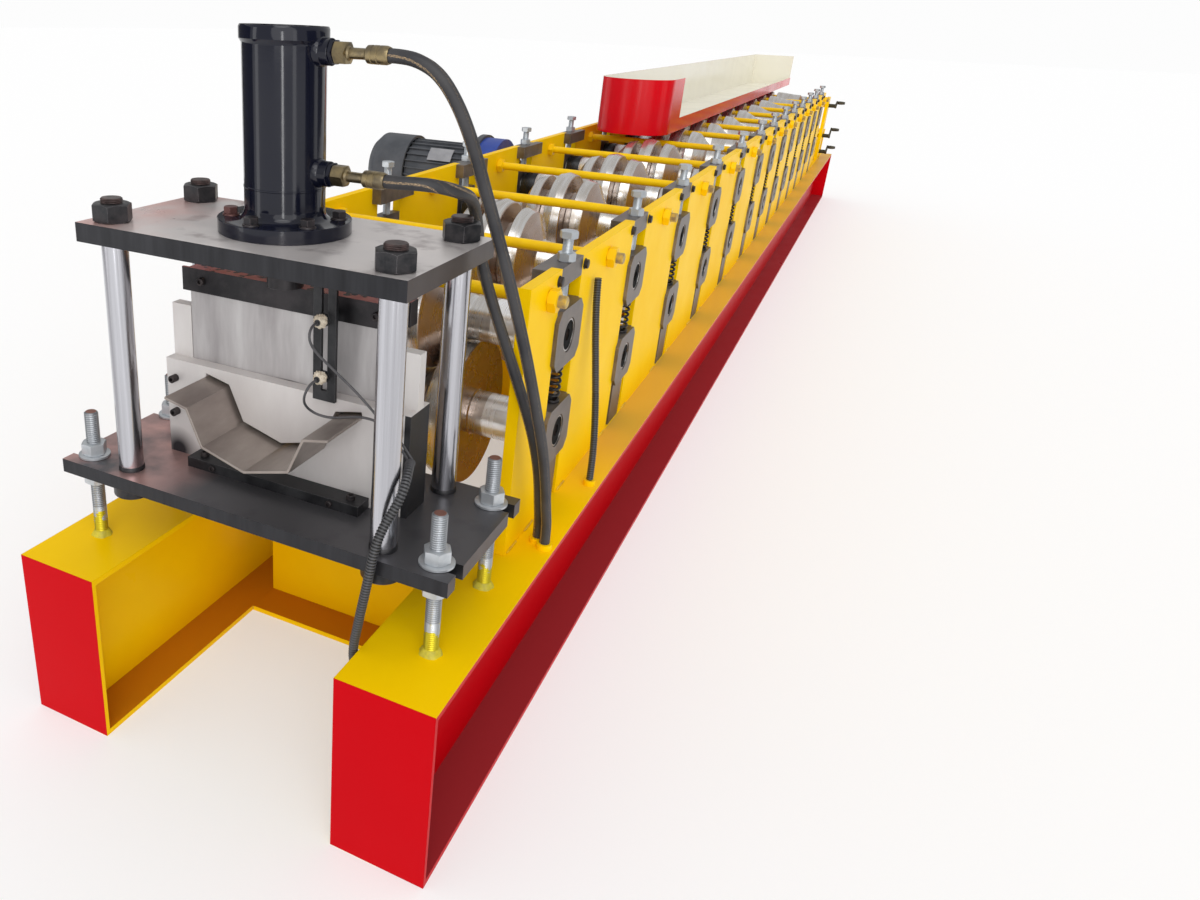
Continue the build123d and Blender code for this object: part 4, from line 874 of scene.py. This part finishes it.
# Painted shade: the roots of the threads, nearer the stud's axis, are darkened above the spray.
thread_root_shade = ramp(tree, distance(tree, off_x, off_y), 0.0147, 0.0132, 0.8)
mix_in(stud_zinc, mask(tree, thread_root_shade, (place["Z"], ">", 0.47)), (0.20, 0.21, 0.23))
mix_in(stud_zinc, mask(tree, (facing["Z"], ">", 0.7), (place["Z"], ">", 0.6945)), (0.28, 0.13, 0.10))
stud_washer = turned([(0, 0.01), (0, 31.5), (1, 33), (5, 33), (6, 31.5), (6, 0.01)], 2, sides=40)
studs = [(repeated(threaded(15, 4.5, 400, 695, 2), stud_places), stud_zinc)]
for low in (593, 557):
    studs.append((repeated(stud_washer, [(x, y, low) for x, y, _ in stud_places]), stud_zinc))
for low in (599, 531):
    studs.append((repeated(hexagon(46, low, low + 26, 2, bore=14.5), stud_places), stud_zinc))
piece("stud_set", studs, "machine", ["press_studs"])


# Guide pillars: hard-chromed, ground bars, stepped down to a thread through the upper plate under a black nut.
# Painted reflection: light and dark tones in patches stretched along the bar give it vertical streaks.
pillar_chrome = finish("pillar_chrome", (0.66, 0.66, 0.70), (0.36, 0.355, 0.38), metal=1.0, rough=0.16,
                       rough_second=0.26, patch=1.4, contrast=1.0, grain=10, bump=0.02, stretch=(60, 60, 0.8))
nut_black = finish("nut_black", (0.016, 0.017, 0.020), (0.045, 0.042, 0.045), metal=0.5, rough=0.30, rough_second=0.45,
                   patch=45, grain=400, bump=0.12, edge=0.0012, edge_colour=(0.30, 0.28, 0.29))
brown_thread = finish("brown_thread", (0.045, 0.034, 0.034), (0.12, 0.08, 0.075), metal=0.6, rough=0.4, patch=60,
                      grain=500, bump=0.2)
pillar_places = [(side * 296, 280 + end * 130, 0) for side in (-1, 1) for end in (-1, 1)]
collar = turned([(537, 0.01), (537, 38), (539, 40), (561, 40), (563, 38), (563, 0.01)], 2, sides=48)
foot_ring = turned([(593, 24.8), (593, 26.8), (601, 26.2), (603, 24.8)], 2, sides=48, closed=True)
bar = eased([(562, 0.01), (562, 25), (1071, 25), (1071, 21), (1108, 21), (1108, 0.01)], 1.0)
pillars = [(repeated(shape, pillar_places), material) for shape, material in (
    (turned(bar, 2, sides=64), pillar_chrome), (collar, nut_black), (foot_ring, nut_black),
    (hexagon(65, 1107, 1141, 2, bore=20), nut_black), (threaded(21, 3.0, 1108, 1151, 2, sides=28), brown_thread))]
piece("pillar_set", pillars, "machine", ["guide_pillars"])


# Hydraulic cylinder: a gloss black welded barrel, bolted to the upper plate by its flange, with two side ports. Each
# port has a black boss and a yellow-passivated nut, tube and crimped sleeve that the hose starts from.
cylinder_gloss = finish("cylinder_gloss", (0.003, 0.004, 0.013), (0.005, 0.006, 0.014), rough=0.09, rough_second=0.15,
                        patch=6, grain=60, bump=0.06, depth=0.0012, gleam=0.42)
passivated = finish("passivated", (0.36, 0.28, 0.15), (0.20, 0.165, 0.11), metal=1.0, rough=0.28, rough_second=0.4,
                    patch=50, grain=400, bump=0.12)
flange_bolt = finish("flange_bolt", (0.022, 0.022, 0.026), (0.045, 0.036, 0.038), metal=0.5, rough=0.34,
                     rough_second=0.5, patch=30, grain=400, bump=0.15, edge=0.001, edge_colour=(0.25, 0.2, 0.2))
tree = flange_bolt.node_tree
place = measures(tree)[0]
mix_in(flange_bolt, mask(tree, (place["X"], "<", 0.222), (place["Y"], "<", -4.08)), (0.13, 0.055, 0.05))
barrel = [(1107, 0.01), (1107, 122), (1108, 123), (1131, 123), (1132, 122), (1132, 84), (1136, 78), (1143, 74.5),
          (1150, 73.5), (1152, 73.5), (1184, 73.5), (1186, 73.5), (1187, 74.3), (1189, 74.3), (1190, 73.5),
          (1192, 73.5), (1425, 73.5), (1427, 73.5), (1429, 74.6), (1432, 76.5), (1434, 78), (1452, 78), (1456, 76),
          (1456, 63), (1450, 62), (1450, 0.01)]
cylinder = [(turned(barrel, 2, (0, 280, 0), 96), cylinder_gloss)]
bolt_ring = np.radians(np.arange(6) * 60 + 27)
bolt_places = np.stack([99 * np.cos(bolt_ring), 280 + 99 * np.sin(bolt_ring), np.full(6, 1132.0)], -1)
bolt_washer = turned([(0, 0.01), (0, 15.5), (2.4, 15), (2.4, 0.01)], 2, sides=28)
cylinder.append((repeated(bolt_washer, bolt_places), flange_bolt))
cylinder.append((repeated(hexagon(24, 2.4, 15, 2), bolt_places), flange_bolt))
for port_z in (1218, 1418):
    centre = (0, 280, port_z)
    cylinder += [
        (turned([(60, 0.01), (60, 26), (76, 25), (80, 22), (95, 22), (96, 21), (96, 0.01)], 0, centre, 40),
         cylinder_gloss),
        (hexagon(38, 96, 104, 0, centre), cylinder_gloss),
        (hexagon(34, 104, 128, 0, centre, bore=9), passivated),
        (turned([(128, 0.01), (128, 12), (131, 9.2), (158, 9), (163, 10.5), (166, 0.01)], 0, centre, 32), passivated),
        (turned([(163, 0.01), (163, 12.5), (165, 14.5), (173, 15), (174, 13.8), (176, 13.8), (177, 15), (184, 15),
                 (185, 13.8), (187, 13.8), (188, 15), (199, 15), (205, 13), (205, 0.01)], 0, centre, 36), passivated)]
piece("cylinder_body", cylinder, "machine", ["hydraulic_cylinder"])


# Ram: the blade hangs in a black steel holder on the piston rod, held by socket screws.
holder_black = finish("holder_black", (0.014, 0.013, 0.015), (0.04, 0.035, 0.038), metal=0.5, rough=0.32,
                      rough_second=0.46, patch=16, grain=350, bump=0.12, edge=0.0012, edge_colour=(0.2, 0.18, 0.18))
tree = holder_black.node_tree
top_face, rust = (measures(tree)[1]["Z"], ">", 0.7), (noise(tree, 40.0, 4.0), ">", 0.42)
mix_in(holder_black, mask(tree, top_face, rust), (0.50, 0.16, 0.15))
coloured(holder_black, "blade_holder")
ground_steel = finish("ground_steel", (0.78, 0.755, 0.735), (0.60, 0.56, 0.55), metal=0.35, rough=0.42,
                      rough_second=0.55, patch=5, contrast=0.9, grain=300, bump=0.08, stretch=(1, 1, 0.35),
                      edge=0.001, edge_colour=(0.62, 0.60, 0.58))
blade_steel = finish("blade_steel", (0.66, 0.645, 0.64), (0.33, 0.305, 0.31), metal=0.45, rough=0.38, rough_second=0.5,
                     patch=9, contrast=0.9, grain=320, bump=0.1, stretch=(1.6, 1.6, 0.25), edge=0.001,
                     edge_colour=(0.62, 0.60, 0.58))


def socket_head(radius, height, axis, outward=1):
    """Socket screw head: a round head with an eased rim and a recess whose bottom lies at half its height."""
    side = [(0, 0.01), (0, radius), (height - 1.2, radius), (height, radius - 1.2), (height, radius * 0.52),
            (height * 0.5, radius * 0.48), (height * 0.5, 0.01)]
    return turned(side if outward > 0 else mirrored(side), axis, sides=28)


holder_screws = repeated(socket_head(8, 8, 1, -1), [(x, 279, 978) for x in (-198, 198)])
piece("holder_screws", [(holder_screws, black_bolt)], "ram")
coloured(blade_steel, "shear_blade")


# Dies: two ground plates with the strip's section cut through them, bolted to the blade guides between them, and
# clamped to the lower plate by two black bars.
tree = ground_steel.node_tree
place = measures(tree)[0]
# Painted shade: the dies darken towards a point low at their left end, by the lower plate.
corner_shade_distance = distance(tree, away(tree, place["X"], 0.022), away(tree, place["Z"], 0.600))
mix_in(ground_steel, ramp(tree, corner_shade_distance, 0.055, 0.015), (0.02, 0.02, 0.025))
mix_in(ground_steel, mask(tree, (place["X"], ">", 0.558), (place["Z"], "<", 0.8055)), (0.02, 0.02, 0.023))
coloured(ground_steel, "die_plates", "blade_guides")
clamp_black = finish("clamp_black", (0.012, 0.012, 0.014), (0.035, 0.035, 0.038), metal=0.4, rough=0.36,
                     rough_second=0.5, patch=20, grain=350, bump=0.2, edge=0.0012, edge_colour=(0.18, 0.18, 0.19))
coloured(clamp_black, "die_clamps", "sensor_rail")
die_screws = [(side * 262, 262, z) for side in (-1, 1) for z in (690, 765)]
clamp_screws = [(side * 176, y, 615) for side in (-1, 1) for y in (240, 364)]
front_screws = [(side * 140, 218, 604) for side in (-1, 1)]
screws = [(repeated(socket_head(*form), places), black_bolt) for form, places in (
    ((8, 17, 1, -1), die_screws), ((9, 9, 2), clamp_screws), ((7, 5, 1, -1), front_screws))]
piece("die_screws", screws, "machine")


# Formed strip: hot-rolled steel left in the die, brown with scale and rubbed bright along its bends.
strip_steel = finish("strip_steel", (0.42, 0.37, 0.33), (0.22, 0.18, 0.165), metal=0.6, rough=0.30, rough_second=0.44,
                     patch=9, contrast=0.9, grain=300, bump=0.12, stretch=(1, 0.35, 1), edge=0.002,
                     edge_colour=(0.44, 0.40, 0.37))
coloured(strip_steel, "formed_strip")


# Sensor tips: the two proximity switches are wrapped in cream paper tape where their leads leave them.
paper_tape = finish("paper_tape", (0.70, 0.62, 0.50), (0.50, 0.42, 0.32), rough=0.8, patch=160, grain=700, bump=0.6,
                    depth=0.001)
wraps = []
for sensor_z, twist in ((854, 0.4), (964, 1.7)):
    turn = full_circle(96)[None]
    rise = np.linspace(0.06, pi - 0.06, 48)[:, None]
    crumple = 1 + 0.06 * np.sin(3 * turn + 2 * rise + twist) + 0.06 * np.sin(7 * turn - 4 * rise + 2 * twist)
    crumple += 0.06 * np.sin(13 * turn + 9 * rise + twist) + 0.05 * np.sin(19 * turn - 17 * rise - twist)
    size = 12.5 * crumple * np.sin(rise) ** 0.7
    rings = np.stack([108 + size * np.sin(turn), 232 - 11 * np.cos(rise) + 0 * turn,
                      sensor_z + size * np.cos(turn)], -1)
    wraps.append((skin(rings), paper_tape))
piece("sensor_wraps", wraps, "machine", angle=80)
